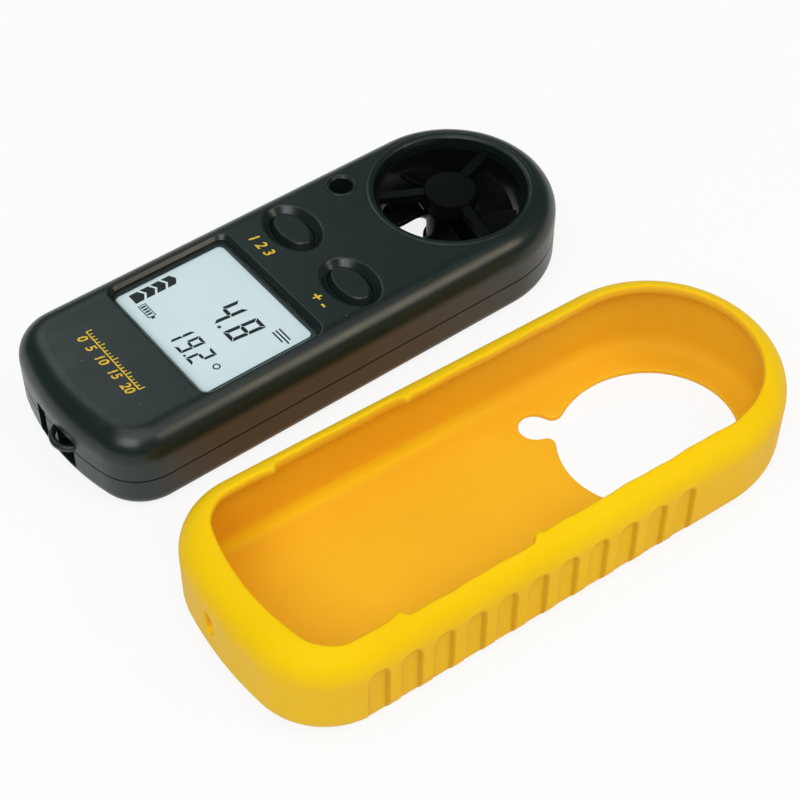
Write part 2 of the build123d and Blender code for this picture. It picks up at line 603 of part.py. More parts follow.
def impeller():
    rotor = soften_top(rod(ROTOR_HUB_R, *ROTOR_HUB_Z), ROTOR_EDGE_R)
    for index in range(BLADES):
        rotor += blade(FIRST_BLADE + 360 * index / BLADES)
    rotor -= rod(MAGNET_R, ROTOR_HUB_Z[0] - 1, MAGNET_Z[1] + 0.05)
    rotor -= rod(SHAFT_R, ROTOR_HUB_Z[0] - 1, ROTOR_HUB_Z[1] + 1)
    return Pos(DUCT_X, 0, 0) * rotor


def hall_sensor():
    return Pos(DUCT_X, 0, 0) * block(-4.2, -2.2, -1.4, 1.4, 2.93, 3.83)


def sensor_flex():
    """Flat lead from the rear hub along an arm, through the collar and up to the board."""
    x_hub, x_rise = DUCT_X - 4.25, DUCT_X - COLLAR_OUT_R - 0.5
    run = block(x_rise - 0.15, x_hub, -0.6, 0.6, 3.32, 3.47)
    rise = block(x_rise - 0.15, x_rise, -0.6, 0.6, 3.32, BOARD_Z0)
    pad = block(BOARD_X1 - 3.0, x_rise, -0.6, 0.6, BOARD_Z0 - 0.15, BOARD_Z0)
    return run + rise + pad


# ---------------------------------------------------------------- temperature sensor
def temperature_bead():
    bead = Pos(SENSOR_X, SENSOR_Y, BEAD_Z) * Sphere(BEAD_R)
    return bead + Pos(SENSOR_X - BEAD_R + 0.1, SENSOR_Y, BEAD_Z) * Rot(0, 90, 0) * Cylinder(0.6, 1.2)


def bead_leads():
    """Two wires from the bead, out of the notch and down to the board."""
    x_far, x_near = SENSOR_X - 3.6, SENSOR_X - 1.5
    wires = []
    for y in (SENSOR_Y - LEAD_SPREAD, SENSOR_Y + LEAD_SPREAD):
        run = Pos((x_far + x_near) / 2, y, BEAD_Z) * Rot(0, 90, 0) * Cylinder(LEAD_R, x_near - x_far)
        corner = Pos(x_far, y, BEAD_Z) * Sphere(LEAD_R)
        wires.append(run + rod(LEAD_R, BOARD_Z1, BEAD_Z, x_far, y) + corner)
    return group(wires)


# ---------------------------------------------------------------- boot
def boot_plan(inset):
    half = BOOT_WIDTH / 2 - inset
    ends = (BOOT_TOP_X - inset, BOOT_END_X + inset)
    return plan(half, *ends, BOOT_CORNER_R - inset, BOOT_BULGE_R - inset)


def grip_groove(x, side):
    """Upright groove with a round top in one side wall."""
    radius = GRIP_W / 2
    y_wall = side * BOOT_WIDTH / 2
    y_deep = y_wall - side * GRIP_DEPTH
    y0, y1 = min(y_deep, y_wall + side), max(y_deep, y_wall + side)
    upright = block(x - radius, x + radius, y0, y1, -1, GRIP_TOP - radius)
    top = Pos(x, (y0 + y1) / 2, GRIP_TOP - radius) * Rot(90, 0, 0) * Cylinder(radius, y1 - y0)
    return upright + top


def boot_mouth():
    """Opening that the face shows through, wider beside the display."""
    half = WIDTH / 2 - BOOT_LIP
    ends = (TOP_X - BOOT_LIP, END_X + BOOT_END_LIP)
    outline = plan(half, *ends, CORNER_R - BOOT_LIP, BULGE_R - BOOT_END_LIP)
    wide = half + BOOT_LIP_NOTCH
    z0, z1 = BOOT_FLOOR + 2, BOOT_HEIGHT + 1
    return prism(outline, z0, z1) + block(*BOOT_NOTCH_X, -wide, wide, z0, z1)


def boot_floor_hole():
    """Opening under the duct, joined to the sensor's hole by a short neck with rounded roots."""
    (duct_x, duct_y), (key_x, key_y) = BOOT_HOLE, BOOT_KEYHOLE
    neck_l = sqrt((duct_x - key_x) ** 2 + (duct_y - key_y) ** 2)
    heading = degrees(atan2(duct_y - key_y, duct_x - key_x))
    neck = Rot(0, 0, heading) * Rectangle(neck_l, BOOT_NECK_W)
    outline = Pos(duct_x, duct_y) * Ellipse(*BOOT_HOLE_R) + Pos(key_x, key_y) * Circle(BOOT_KEYHOLE_R)
    outline += Pos((duct_x + key_x) / 2, (duct_y + key_y) / 2) * neck
    roots = [v for v in outline.vertices() if Vector(v.X - key_x, v.Y - key_y).length < 3 * BOOT_KEYHOLE_R]
    return prism(fillet(roots, BOOT_NECK_R), -1, 4)


def lanyard_slot():
    profile = Pos(BOOT_END_X, BOOT_SLOT_Y, BOOT_SLOT_Z) * Rot(0, 90, 0)
    return profile * extrude(SlotOverall(*BOOT_SLOT, rotation=90), 4, both=True)


def protective_boot():
    boot = soften_top(prism(boot_plan(0), 0, BOOT_HEIGHT), BOOT_RIM_R)
    boot = soften_bottom(boot, BOOT_BASE_R)
    ceiling = BOOT_FLOOR + HEIGHT + 0.1
    pocket = soften_top(prism(case_plan(-BOOT_FIT), BOOT_FLOOR, ceiling), FACE_EDGE_R + BOOT_FIT)
    pocket = soften_bottom(pocket, BACK_EDGE_R + BOOT_FIT)
    boot -= pocket
    boot -= boot_mouth()
    boot -= boot_floor_hole()
    boot -= lanyard_slot()
    for index in range(GRIPS):
        for side in (-1, 1):
            boot -= grip_groove(GRIP_X0 + GRIP_PITCH * index, side)
    return Pos(*BOOT_PLACE, 0) * Rot(0, 0, BOOT_YAW) * boot


# ---------------------------------------------------------------- write every sub-part
def sub_parts():
    parts = {
        "front_case": front_case(),
        "rear_case": rear_case(),
        "case_screws": case_screws(),
        "display_window": display_window(),
        "lcd_panel": lcd_panel(),
        "backlight_panel": backlight_panel(),
        "zebra_strip": zebra_strip(),
        "lcd_holder": lcd_holder(),
        "main_board": main_board(),
        "board_screws": board_screws(),
        "controller_chip": controller_chip(),
        "clock_crystal": clock_crystal(),
        "board_capacitors": board_capacitors(),
        "coin_cell": coin_cell(),
        "battery_holder": battery_holder(),
        "negative_contact": negative_contact(),
        "positive_contact": positive_contact(),
        "battery_cover": battery_cover(),
        "front_guard": front_guard(),
        "rear_guard": rear_guard(),
        "duct_sleeve": duct_sleeve(),
        "front_bearing": front_bearing(),
        "rear_bearing": rear_bearing(),
        "impeller_shaft": impeller_shaft(),
        "rotor_magnet": rotor_magnet(),
        "impeller": impeller(),
        "hall_sensor": hall_sensor(),
        "sensor_flex": sensor_flex(),
        "temperature_bead": temperature_bead(),
        "bead_leads": bead_leads(),
        "protective_boot": protective_boot(),
    }
    for name, (x, y) in zip(("mode", "set"), key_places()):
        parts[f"{name}_switch"] = key_switch(x, y)
        parts[f"{name}_plunger"] = key_plunger(x, y)
        parts[f"{name}_button"] = key_button(x, y)
    return parts


for node, shape in sub_parts().items():
    export_step(shape, f"parts/{node}.step")
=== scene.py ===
import bmesh
import bpy
import numpy as np
from mathutils import Matrix, Vector


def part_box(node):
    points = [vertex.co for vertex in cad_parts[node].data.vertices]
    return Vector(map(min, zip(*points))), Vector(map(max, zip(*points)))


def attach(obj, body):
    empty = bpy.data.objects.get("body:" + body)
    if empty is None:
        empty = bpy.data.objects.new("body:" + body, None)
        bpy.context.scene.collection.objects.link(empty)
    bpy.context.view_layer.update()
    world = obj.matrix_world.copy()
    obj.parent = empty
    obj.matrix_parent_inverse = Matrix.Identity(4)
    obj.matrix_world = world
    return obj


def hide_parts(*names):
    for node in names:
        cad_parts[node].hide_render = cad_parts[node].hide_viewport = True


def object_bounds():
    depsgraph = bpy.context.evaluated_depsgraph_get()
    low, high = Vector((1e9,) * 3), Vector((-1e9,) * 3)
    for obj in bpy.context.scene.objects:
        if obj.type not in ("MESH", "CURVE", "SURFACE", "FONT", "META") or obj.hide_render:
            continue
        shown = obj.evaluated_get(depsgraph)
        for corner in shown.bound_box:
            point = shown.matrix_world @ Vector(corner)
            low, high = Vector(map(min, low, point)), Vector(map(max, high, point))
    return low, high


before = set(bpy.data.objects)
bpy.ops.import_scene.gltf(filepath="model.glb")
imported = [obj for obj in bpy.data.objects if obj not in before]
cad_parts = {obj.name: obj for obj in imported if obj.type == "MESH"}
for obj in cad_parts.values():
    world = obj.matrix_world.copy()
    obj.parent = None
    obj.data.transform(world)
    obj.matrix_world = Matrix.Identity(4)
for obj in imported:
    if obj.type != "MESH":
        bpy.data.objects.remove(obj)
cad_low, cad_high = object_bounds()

MM, MICRON = 0.001, 0.000001
scene = bpy.context.scene
meter_low, meter_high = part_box("rear_case")
face_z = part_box("front_case")[1].z / MM


# ---------------------------------------------------------------- wiring of materials
class Wiring:
    """A node tree being wired: adds nodes, joins their sockets and sets their constants."""

    def __init__(self, tree):
        self.tree = tree
        tree.nodes.clear()

    def add(self, kind, **settings):
        node = self.tree.nodes.new(kind)
        for key, value in settings.items():
            setattr(node, key, value)
        return node

    def link(self, source, target):
        self.tree.links.new(source, target)

    def put(self, target, value):
        """Joins the target to a socket, or sets it to a constant."""
        if isinstance(value, bpy.types.NodeSocket):
            self.link(value, target)
        else:
            target.default_value = value

    def fill(self, node, values):
        for socket, value in zip(node.inputs, values):
            self.put(socket, value)
        return node

    def math(self, operation, first, second):
        return self.fill(self.add("ShaderNodeMath", operation=operation), (first, second)).outputs[0]

    def times(self, first, *others):
        for other in others:
            first = self.math("MULTIPLY", first, other)
        return first

    def larger(self, first, second):
        return self.math("MAXIMUM", first, second)

    def vector(self, operation, first, second):
        """Vector arithmetic; a distance or a dot product comes out as a plain number."""
        node = self.fill(self.add("ShaderNodeVectorMath", operation=operation), (first, second))
        return node.outputs["Value" if operation in ("DISTANCE", "DOT_PRODUCT") else "Vector"]

    def ramp(self, source, low, high, out_low=0.0, out_high=1.0, kind="LINEAR"):
        """Source from low to high gives out_low to out_high, and is held outside."""
        node = self.add("ShaderNodeMapRange", clamp=True, interpolation_type=kind)
        return self.fill(node, (source, low, high, out_low, out_high)).outputs[0]

    def mix(self, share, first, second):
        """Colour between two colours, each three numbers or a socket."""
        node = self.add("ShaderNodeMix", data_type="RGBA")
        self.put(node.inputs["Factor"], share)
        for socket, value in zip((node.inputs[6], node.inputs[7]), (first, second)):
            self.put(socket, (*value, 1.0) if isinstance(value, tuple) else value)
        return node.outputs[2]


class Finish(Wiring):
    """A material round a Principled shader, with its patterns on Object coordinates."""

    def __init__(self, name):
        self.material = bpy.data.materials.new(name)
        self.material.use_nodes = True
        super().__init__(self.material.node_tree)
        self.output = self.add("ShaderNodeOutputMaterial")
        self.shader = self.add("ShaderNodeBsdfPrincipled")
        self.link(self.shader.outputs[0], self.output.inputs["Surface"])
        self.place = self.add("ShaderNodeTexCoord").outputs["Object"]

    def set(self, **values):
        for key, value in values.items():
            self.put(self.shader.inputs[key.replace("_", " ")], value)
        return self

    def noise(self, per_metre, detail, stretch=(1, 1, 1)):
        """Soft noise; per_metre is how many lumps fit in a metre."""
        mapping = self.add("ShaderNodeMapping")
        self.link(self.place, mapping.inputs["Vector"])
        mapping.inputs["Scale"].default_value = stretch
        node = self.add("ShaderNodeTexNoise")
        self.link(mapping.outputs[0], node.inputs["Vector"])
        node.inputs["Scale"].default_value = per_metre
        node.inputs["Detail"].default_value = detail
        return node.outputs["Fac"]

    def patches(self, per_metre, detail, low, high, out_low=0.0, out_high=1.0, stretch=(1, 1, 1)):
        """Noise made into patches: a ramp over its middle part."""
        return self.ramp(self.noise(per_metre, detail, stretch), low, high, out_low, out_high)

    def spots(self, per_metre, outside, inside):
        """1 on round spots scattered with about per_metre to the metre; each fades from the
        outside distance to the inside one, measured in the spots' own spacing."""
        node = self.add("ShaderNodeTexVoronoi")
        self.link(self.place, node.inputs["Vector"])
        node.inputs["Scale"].default_value = per_metre
        return self.ramp(node.outputs["Distance"], outside, inside)

    def axis(self, name, vector=None):
        """X, Y or Z of a vector, which is the place on the piece unless another is given."""
        node = self.add("ShaderNodeSeparateXYZ")
        self.link(self.place if vector is None else vector, node.inputs[0])
        return node.outputs[name]

    def bump(self, *layers):
        """Raises the surface by each layer: a height source and its depth in microns."""
        normal = None
        for source, depth in layers:
            node = self.add("ShaderNodeBump")
            node.inputs["Strength"].default_value = 1.0
            node.inputs["Distance"].default_value = depth * MICRON
            self.put(node.inputs["Height"], source)
            if normal is not None:
                self.link(normal, node.inputs["Normal"])
            normal = node.outputs[0]
        self.link(normal, self.shader.inputs["Normal"])
        return self

    def cover(self, share, shader):
        """Lets another shader take over from the Principled one by the given share."""
        node = self.add("ShaderNodeMixShader")
        self.fill(node, (share, self.shader.outputs[0], shader.outputs[0]))
        self.link(node.outputs[0], self.output.inputs["Surface"])
        return self


# ---------------------------------------------------------------- finishes
PLAIN_GLOSS = (1.0, 1.0, 1.0, 1.0)
WARM_GLOSS = (1.0, 0.85, 0.25, 1.0)
DULL_GLOSS = (0.15, 0.15, 0.15, 1.0)
GROOVE_SHADE_LAYER = "groove_shade"


def moulded(name, deep, light, rough, grain=4, gloss=0.5, tint=PLAIN_GLOSS):
    """Spark-eroded moulded plastic: two close colours in slow drifts, a fine grain so many microns
    deep, and faint handling marks."""
    f = Finish(name)
    drift = f.patches(70, 4, 0.35, 0.65)
    smear = f.patches(160, 5, 0.42, 0.68, stretch=(1, 2.5, 1))
    f.set(Base_Color=f.mix(drift, deep, light), Specular_IOR_Level=gloss, Specular_Tint=tint)
    f.set(Roughness=f.math("ADD", f.times(smear, 0.08), rough))
    return f.bump((f.noise(5200, 2), grain), (f.noise(420, 3), grain * 1.5)).material


def metal(name, colour, rough, grain=3, stretch=(1, 1, 1)):
    """Bare or plated metal with drawn lines so many microns deep, and slight tarnish."""
    f = Finish(name)
    tarnish = f.patches(500, 5, 0.4, 0.75)
    dull = tuple(0.8 * channel for channel in colour)
    f.set(Base_Color=f.mix(tarnish, colour, dull), Metallic=1.0)
    f.set(Roughness=f.patches(900, 4, 0.3, 0.7, rough, rough + 0.14))
    return f.bump((f.noise(4000, 2, stretch), grain)).material


def case_finish():
    """Satin charcoal with a green cast: slow drift in tone, fine grain, and sparse pale specks of
    dust a few tenths of a millimetre across."""
    f = Finish("case_plastic_satin")
    drift = f.patches(38, 3, 0.3, 0.7)
    tone = f.mix(drift, (0.0040, 0.0105, 0.0100), (0.0065, 0.0145, 0.0138))
    dust = f.times(f.spots(260, 0.035, 0.02), 0.5)
    f.set(Base_Color=f.mix(dust, tone, (0.55, 0.56, 0.52)), Specular_IOR_Level=0.5)
    smear = f.patches(120, 5, 0.40, 0.70, stretch=(1, 2.2, 1))
    f.set(Roughness=f.math("ADD", f.times(smear, 0.06), 0.28))
    return f.bump((f.noise(6500, 2), 3.5), (f.noise(330, 3), 6)).material


def key_finish():
    """The keys' satin plastic, a touch darker than the case and dulled in patches by thumbs."""
    f = Finish("key_plastic_satin")
    drift = f.patches(300, 3, 0.3, 0.7)
    f.set(Base_Color=f.mix(drift, (0.0032, 0.0085, 0.0084), (0.0058, 0.0120, 0.0116)))
    f.set(Roughness=f.patches(450, 4, 0.35, 0.7, 0.29, 0.37), Specular_IOR_Level=0.5)
    return f.bump((f.noise(7000, 2), 3)).material


def blade_finish():
    """Thin dark blades with a dusty film that thickens towards the tips."""
    f = Finish("impeller_plastic_black")
    low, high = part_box("impeller")
    reach = f.vector("DISTANCE", f.place, (low + high) / 2)
    film = f.times(f.ramp(reach, 0.006, 0.013), f.patches(700, 4, 0.4, 0.75, 0.1, 0.55))
    f.set(Base_Color=f.mix(film, (0.0016, 0.0024, 0.0025), (0.010, 0.012, 0.012)))
    f.set(Roughness=f.ramp(film, 0.0, 0.5, 0.34, 0.5))
    f.set(Specular_IOR_Level=0.14, Specular_Tint=DULL_GLOSS)
    return f.bump((f.noise(3000, 2), 3)).material


def painted_boot_shade(f, normal, upward):
    """Share of painted shade in a deeper orange: 1 inside the boot, 0 outside and up to a half on
    outer walls that face sideways or down. A spine runs along the boot's middle: the way from it to the
    surface, measured along the surface's normal, is negative inside. The cove between floor and wall
    counts less near the flat end, which leaves a painted lemon highlight along it."""
    low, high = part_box("protective_boot")
    reach = (low.x + 16 * MM, high.x - 22 * MM)
    spine = f.add("ShaderNodeCombineXYZ")
    f.fill(spine, (f.ramp(f.axis("X"), *reach, *reach), (low.y + high.y) / 2, high.z / 2))
    outward = f.vector("DOT_PRODUCT", f.vector("SUBTRACT", f.place, spine.outputs[0]), normal)
    inside = f.ramp(outward, 0.002, -0.003)
    # painted highlight: the painted shade is cut back along the cove between floor and wall, leaving a
    # lemon strip
    cove = f.times(f.ramp(upward, 0.15, 0.6), f.ramp(upward, 0.99, 0.85))
    cove = f.times(cove, f.ramp(f.axis("X"), 0.018, -0.006))
    inside = f.times(inside, f.math("SUBTRACT", 1.0, f.times(cove, 0.65)))
    return f.larger(inside, f.ramp(upward, 0.75, 0.0, 0.0, 0.5))


def boot_low_darkening(f, upward):
    """Share of darker patches low on the outer walls, few of them underneath."""
    near_floor = f.ramp(f.axis("Z"), 0.0035, 0.0)
    outward = f.times(f.ramp(upward, 0.15, -0.05), f.ramp(upward, -0.97, -0.6, 0.25, 1.0))
    return f.times(f.times(near_floor, outward), f.patches(900, 5, 0.5, 0.7, 0.0, 0.45))


def rubber_finish():
    """Soft yellow rubber: lemon on top, with a deeper orange painted as shade inside and down the
    walls and a painted lemon highlight along the inner cove, slow drift, matt bloom, fine skin texture,
    darker patches low on the outer walls, and painted shade along the grooves."""
    f = Finish("boot_rubber_yellow")
    normal = f.add("ShaderNodeNewGeometry").outputs["Normal"]
    upward = f.axis("Z", normal)
    drift = f.patches(42, 3, 0.3, 0.7)
    lemon = f.mix(drift, (0.850, 0.550, 0.0015), (0.875, 0.585, 0.0022))
    orange = f.mix(drift, (0.850, 0.460, 0.0210), (0.870, 0.500, 0.0220))
    # painted shade: the deeper orange inside the boot and down the walls that face sideways
    tone = f.mix(painted_boot_shade(f, normal, upward), lemon, orange)
    tone = f.mix(boot_low_darkening(f, upward), tone, (0.62, 0.36, 0.035))
    # painted shade along the grooves' edges, read from the mesh's attribute
    groove_shade = f.add("ShaderNodeAttribute", attribute_name=GROOVE_SHADE_LAYER).outputs["Fac"]
    tone = f.mix(f.times(groove_shade, 0.48), tone, (0.42, 0.19, 0.010))
    f.set(Base_Color=tone, Specular_IOR_Level=0.24, Specular_Tint=WARM_GLOSS)
    f.set(Roughness=f.patches(210, 4, 0.35, 0.7, 0.44, 0.56))
    f.set(Subsurface_Weight=0.12, Subsurface_Scale=1.2 * MM, Subsurface_Radius=(1.0, 0.55, 0.12))
    return f.bump((f.noise(4200, 2), 6), (f.noise(260, 3), 20)).material


def glass_face_finish():
    """The liquid crystal glass: pale blue-grey with a faint cloud."""
    f = Finish("display_glass_grey")
    cloud = f.patches(90, 3, 0.3, 0.7)
    f.set(Base_Color=f.mix(cloud, (0.575, 0.700, 0.752), (0.600, 0.722, 0.770)))
    f.set(Roughness=0.30, Specular_IOR_Level=0.2)
    return f.bump((f.noise(3000, 1), 1)).material


def segment_finish():
    """Darkened crystal of a lit segment."""
    f = Finish("display_segments_dark")
    f.set(Base_Color=f.mix(f.noise(900, 2), (0.002, 0.003, 0.0035), (0.005, 0.007, 0.0075)))
    f.set(Roughness=f.patches(500, 2, 0.3, 0.7, 0.35, 0.45), Specular_IOR_Level=0.03)
    return f.material


def border_finish():
    """Black printed border round the glass."""
    f = Finish("display_border_black")
    f.set(Base_Color=f.mix(f.noise(600, 3), (0.006, 0.010, 0.010), (0.011, 0.017, 0.016)))
    f.set(Roughness=f.patches(800, 3, 0.3, 0.7, 0.42, 0.55), Specular_IOR_Level=0.3)
    return f.material


def window_finish():
    """Clear acrylic: a thin glossy skin over what lies beneath, with faint wipe marks. Shadow and
    diffuse rays go straight through it."""
    f = Finish("window_acrylic_clear")
    wipe = f.patches(260, 5, 0.5, 0.75, stretch=(0.4, 3, 1))
    f.set(Base_Color=(0.985, 0.995, 1.0, 1.0), IOR=1.49, Transmission_Weight=1.0)
    f.set(Roughness=f.ramp(wipe, 0.0, 1.0, 0.015, 0.05))
    f.set(Specular_IOR_Level=0.12, Specular_Tint=DULL_GLOSS)
    path = f.add("ShaderNodeLightPath")
    passing = f.larger(path.outputs["Is Shadow Ray"], path.outputs["Is Diffuse Ray"])
    return f.cover(passing, f.add("ShaderNodeBsdfTransparent")).material


def ink_finish():
    """Pad-printed yellow ink, slightly thin and uneven at its edges."""
    f = Finish("print_ink_yellow")
    thin = f.patches(2600, 4, 0.42, 0.72)
    f.set(Base_Color=f.mix(thin, (0.78, 0.53, 0.030), (0.42, 0.29, 0.030)))
    f.set(Roughness=f.patches(1500, 3, 0.3, 0.7, 0.45, 0.6), Specular_IOR_Level=0.3)
    return f.bump((f.noise(5000, 2), 4)).material


def board_finish():
    """Green solder mask over copper tracks, with tinned pads."""
    f = Finish("board_laminate_green")
    track = f.add("ShaderNodeTexBrick", offset=0.5, squash=1.0)
    f.link(f.place, track.inputs["Vector"])
    track.inputs["Scale"].default_value = 160.0
    track.inputs["Mortar Size"].default_value = 0.03
    line = f.ramp(track.outputs["Fac"], 0.2, 0.8)
    pad = f.spots(330, 0.14, 0.10)
    mask = f.mix(line, (0.012, 0.085, 0.030), (0.030, 0.170, 0.060))
    f.set(Base_Color=f.mix(pad, mask, (0.62, 0.60, 0.55)), Metallic=f.times(pad, 0.9))
    f.set(Roughness=f.patches(700, 3, 0.3, 0.7, 0.28, 0.42))
    return f.bump((line, 35), (f.noise(5000, 2), 4)).material


def strip_finish():
    """Layered contact rubber: fine dark and grey stripes along the strip."""
    f = Finish("contact_rubber_striped")
    wave = f.add("ShaderNodeTexWave", bands_direction="Y")
    f.link(f.place, wave.inputs["Vector"])
    wave.inputs["Scale"].default_value = 900.0
    stripe = wave.outputs["Fac"]
    f.set(Base_Color=f.mix(stripe, (0.02, 0.02, 0.02), (0.32, 0.31, 0.30)), Roughness=0.7)
    return f.bump((stripe, 10)).material


def flex_finish():
    """Amber film with two copper lines along it."""
    f = Finish("flex_film_amber")
    from_middle = f.math("ABSOLUTE", f.axis("Y"), 0.0)
    from_line = f.math("ABSOLUTE", f.math("SUBTRACT", from_middle, 0.28 * MM), 0.0)
    line = f.ramp(from_line, 0.16 * MM, 0.10 * MM)
    film = f.mix(f.noise(500, 3), (0.42, 0.16, 0.02), (0.50, 0.21, 0.03))
    f.set(Base_Color=f.mix(line, film, (0.72, 0.36, 0.16)), Roughness=0.3, Coat_Weight=0.4)
    return f.bump((line, 10)).material


def ceramic_finish():
    """Tan ceramic chip parts."""
    f = Finish("ceramic_tan")
    f.set(Base_Color=f.mix(f.noise(2500, 4), (0.42, 0.27, 0.13), (0.52, 0.36, 0.19)))
    f.set(Roughness=f.patches(1500, 3, 0.3, 0.7, 0.45, 0.65))
    return f.bump((f.noise(4000, 3), 6)).material


FINISHES = {
    "case_plastic": case_finish(),
    "key_plastic": key_finish(),
    "clear_plastic": window_finish(),
    "display_glass": glass_face_finish(),
    "white_plastic": moulded("white_plastic_milky", (0.70, 0.71, 0.69), (0.76, 0.77, 0.75), 0.35),
    "black_plastic": moulded("black_plastic_inner", (0.012, 0.012, 0.013), (0.020, 0.020, 0.021), 0.45),
    "contact_rubber": strip_finish(),
    "board_laminate": board_finish(),
    "screw_steel": metal("screw_steel_zinc", (0.58, 0.57, 0.55), 0.28, 4),
    "resin_black": moulded("resin_black_glossy", (0.006, 0.006, 0.007), (0.012, 0.012, 0.013), 0.14, 6),
    "can_metal": metal("can_metal_bright", (0.76, 0.75, 0.72), 0.2, 2, (1, 6, 6)),
    "ceramic_tan": ceramic_finish(),
    "cell_steel": metal("cell_steel_brushed", (0.70, 0.70, 0.69), 0.24, 4, (0.3, 5, 1)),
    "spring_steel": metal("spring_steel_plated", (0.66, 0.63, 0.55), 0.26, 3, (5, 0.4, 1)),
    "duct_plastic": moulded("duct_plastic_black", (0.0026, 0.0036, 0.0038), (0.0042, 0.0056, 0.0058),
                            0.40, gloss=0.16, tint=DULL_GLOSS),
    "bush_plastic": moulded("bush_plastic_ivory", (0.55, 0.50, 0.40), (0.62, 0.57, 0.46), 0.4),
    "shaft_steel": metal("shaft_steel_ground", (0.72, 0.72, 0.71), 0.16, 2, (8, 8, 1)),
    "magnet_iron": metal("magnet_nickel", (0.60, 0.58, 0.54), 0.3, 5),
    "impeller_plastic": blade_finish(),
    "flex_amber": flex_finish(),
    "bead_resin": moulded("bead_resin_dark", (0.010, 0.010, 0.010), (0.018, 0.017, 0.016), 0.22, 8),
    "lead_copper": metal("lead_copper_tinned", (0.80, 0.60, 0.45), 0.25, 3),
    "boot_rubber": rubber_finish(),
}

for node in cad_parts.values():
    for material_slot in node.material_slots:
        material_slot.material = FINISHES[material_slot.material.name.split(".")[0]]


# ---------------------------------------------------------------- mesh helpers
def add_piece(name, points_mm, faces, finish, body, smooth=True):
    """Mesh object from points in millimetres and face indices; it rides on the body."""
    mesh = bpy.data.meshes.new(name)
    mesh.from_pydata((np.asarray(points_mm, float) * MM).tolist(), [], [list(face) for face in faces])
    mesh.polygons.foreach_set("use_smooth", np.full(len(mesh.polygons), smooth))
    mesh.update()
    return add_mesh(name, mesh, finish, body)


def add_mesh(name, mesh, finish, body):
    """Puts a finished mesh into the scene as one piece on a body."""
    mesh.materials.clear()
    mesh.materials.append(finish)
    piece = bpy.data.objects.new(name, mesh)
    scene.collection.objects.link(piece)
    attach(piece, body)
    return piece


def grid_quads(index, wrap_rows=False, wrap_columns=False):
    """Quads of a grid of vertex numbers, closed round in either direction if asked."""
    if wrap_rows:
        index = np.vstack([index, index[:1]])
    if wrap_columns:
        index = np.hstack([index, index[:, :1]])
    corners = (index[:-1, :-1], index[:-1, 1:], index[1:, 1:], index[1:, :-1])
    return np.stack(corners, axis=-1).reshape(-1, 4)


def numbered(rows, columns, first=0):
    """Grid of vertex numbers, counted along each row from the first."""
    return first + np.arange(rows * columns).reshape(rows, columns)


def at_height(plan, z):
    """Points of a plan at one height, or each at its own."""
    return np.column_stack([plan, np.broadcast_to(z, (len(plan),))])


def circle(turn):
    """Unit circle's points at the given angles."""
    return np.stack([np.cos(turn), np.sin(turn)], axis=-1)


def closed_curve(points):
    """Length along a closed polyline at each point, and the points with the first one repeated."""
    ring = np.vstack([points, points[:1]])
    steps = np.linalg.norm(np.diff(ring, axis=0), axis=1)
    return np.concatenate([[0.0], np.cumsum(steps)]), ring


def along(lengths, ring, at):
    """Points of a closed polyline at the given lengths along it, wrapping past its end."""
    at = np.mod(at, lengths[-1])
    return np.stack([np.interp(at, lengths, ring[:, axis]) for axis in range(2)], axis=-1)


def normal_at(lengths, ring, at, reach):
    """Unit normal of a closed polyline at the given lengths: its direction over the reach to
    either side, turned a quarter to the right."""
    step = along(lengths, ring, at + reach) - along(lengths, ring, at - reach)
    step /= np.linalg.norm(step, axis=1)[:, None]
    return np.stack([step[:, 1], -step[:, 0]], axis=-1)


def ease(x):
    """Smooth step from 0 to 1: three times the square less twice the cube."""
    x = np.clip(x, 0, 1)
    return x * x * (3 - 2 * x)


# ---------------------------------------------------------------- boot
# half width, nose, flat end, corner radius and bulge radius of the three plans
OUTSIDE = (22.35, 54.65, -56.65, 14.1, 69.0)
POCKET = (20.25, 52.75, -54.75, 9.45, 51.25)
MOUTH = (17.6, 50.1, -50.7, 6.8, 47.2)
NOTCH_X, NOTCH_DEPTH, NOTCH_EASE = (-33.7, -8.6), 0.8, 1.4
TOOTH_DEPTH, TOOTH_W = 0.4, 0.75
FLOOR_Z, RIM_Z = 1.1, 18.2
RIM_R, BASE_R, LIP_R, HOLE_EDGE_R = 5.2, 4.4, 0.55, 0.35
POCKET_TOP_Z, POCKET_TOP_R, POCKET_LOW_R = 17.2, 5.25, 2.85
# rows on the walls: closer where the grooves end, and in step with the end slot's ends
WALL_HEIGHTS = (14.35, 14.05, 13.75, 13.45, 13.15, 12.6, 12.1, 11.6, 11.1, 10.6,
                10.1, 9.5, 9.0, 8.5, 8.0, 7.5, 7.0, 6.4, 5.7, 5.0)
HOLE, HOLE_R = np.array((30.8, -1.60)), np.array((16.8, 15.25))
KEYHOLE, KEYHOLE_R = np.array((15.8, 11.6)), 2.95
NECK_HALF_W, NECK_BLEND, BULB_BLEND = 2.3, 1.7, 0.8
NECK_ANGLE, NECK_SHARES = 27.0, (-50.0, 52.0)
SLOT_Y, SLOT_Z, SLOT_HALF_W, SLOT_HALF_H = 2.6, 9.8, 1.2, 2.5
SLOT_LEAD, SLOT_FADE, NEAR_END_X = 0.3, 1.9, -50
# how far through the wall each ring of the slot lies, and how much narrower it is
SLOT_RINGS = ((0.04, 0.14), (0.12, 0.26), (0.22, 0.30), (0.78, 0.30), (0.88, 0.26), (0.96, 0.14))
GRIP_X, GRIP_HALF_W, GRIP_TOP, GRIP_DEPTH = -41.3 + 6.15 * np.arange(11), 1.9, 13.6, 0.85
# cross-sections: their places about a groove's edge and in its middle, and their spacings
GRIP_OFFSETS = np.array((-0.75, -0.5, -0.32, -0.16, 0.0, 0.16, 0.32, 0.5, 0.8))
GRIP_MIDDLE, SLOT_SIDE, AFTER_SIDE, BEFORE_SIDE = (-0.5, 0.5), (0.4, 3.4), 0.9, 0.7
STATION_STEP, STATION_LEAST, NOSE_STATIONS, SIDE_START = 0.95, 0.05, 76, 24
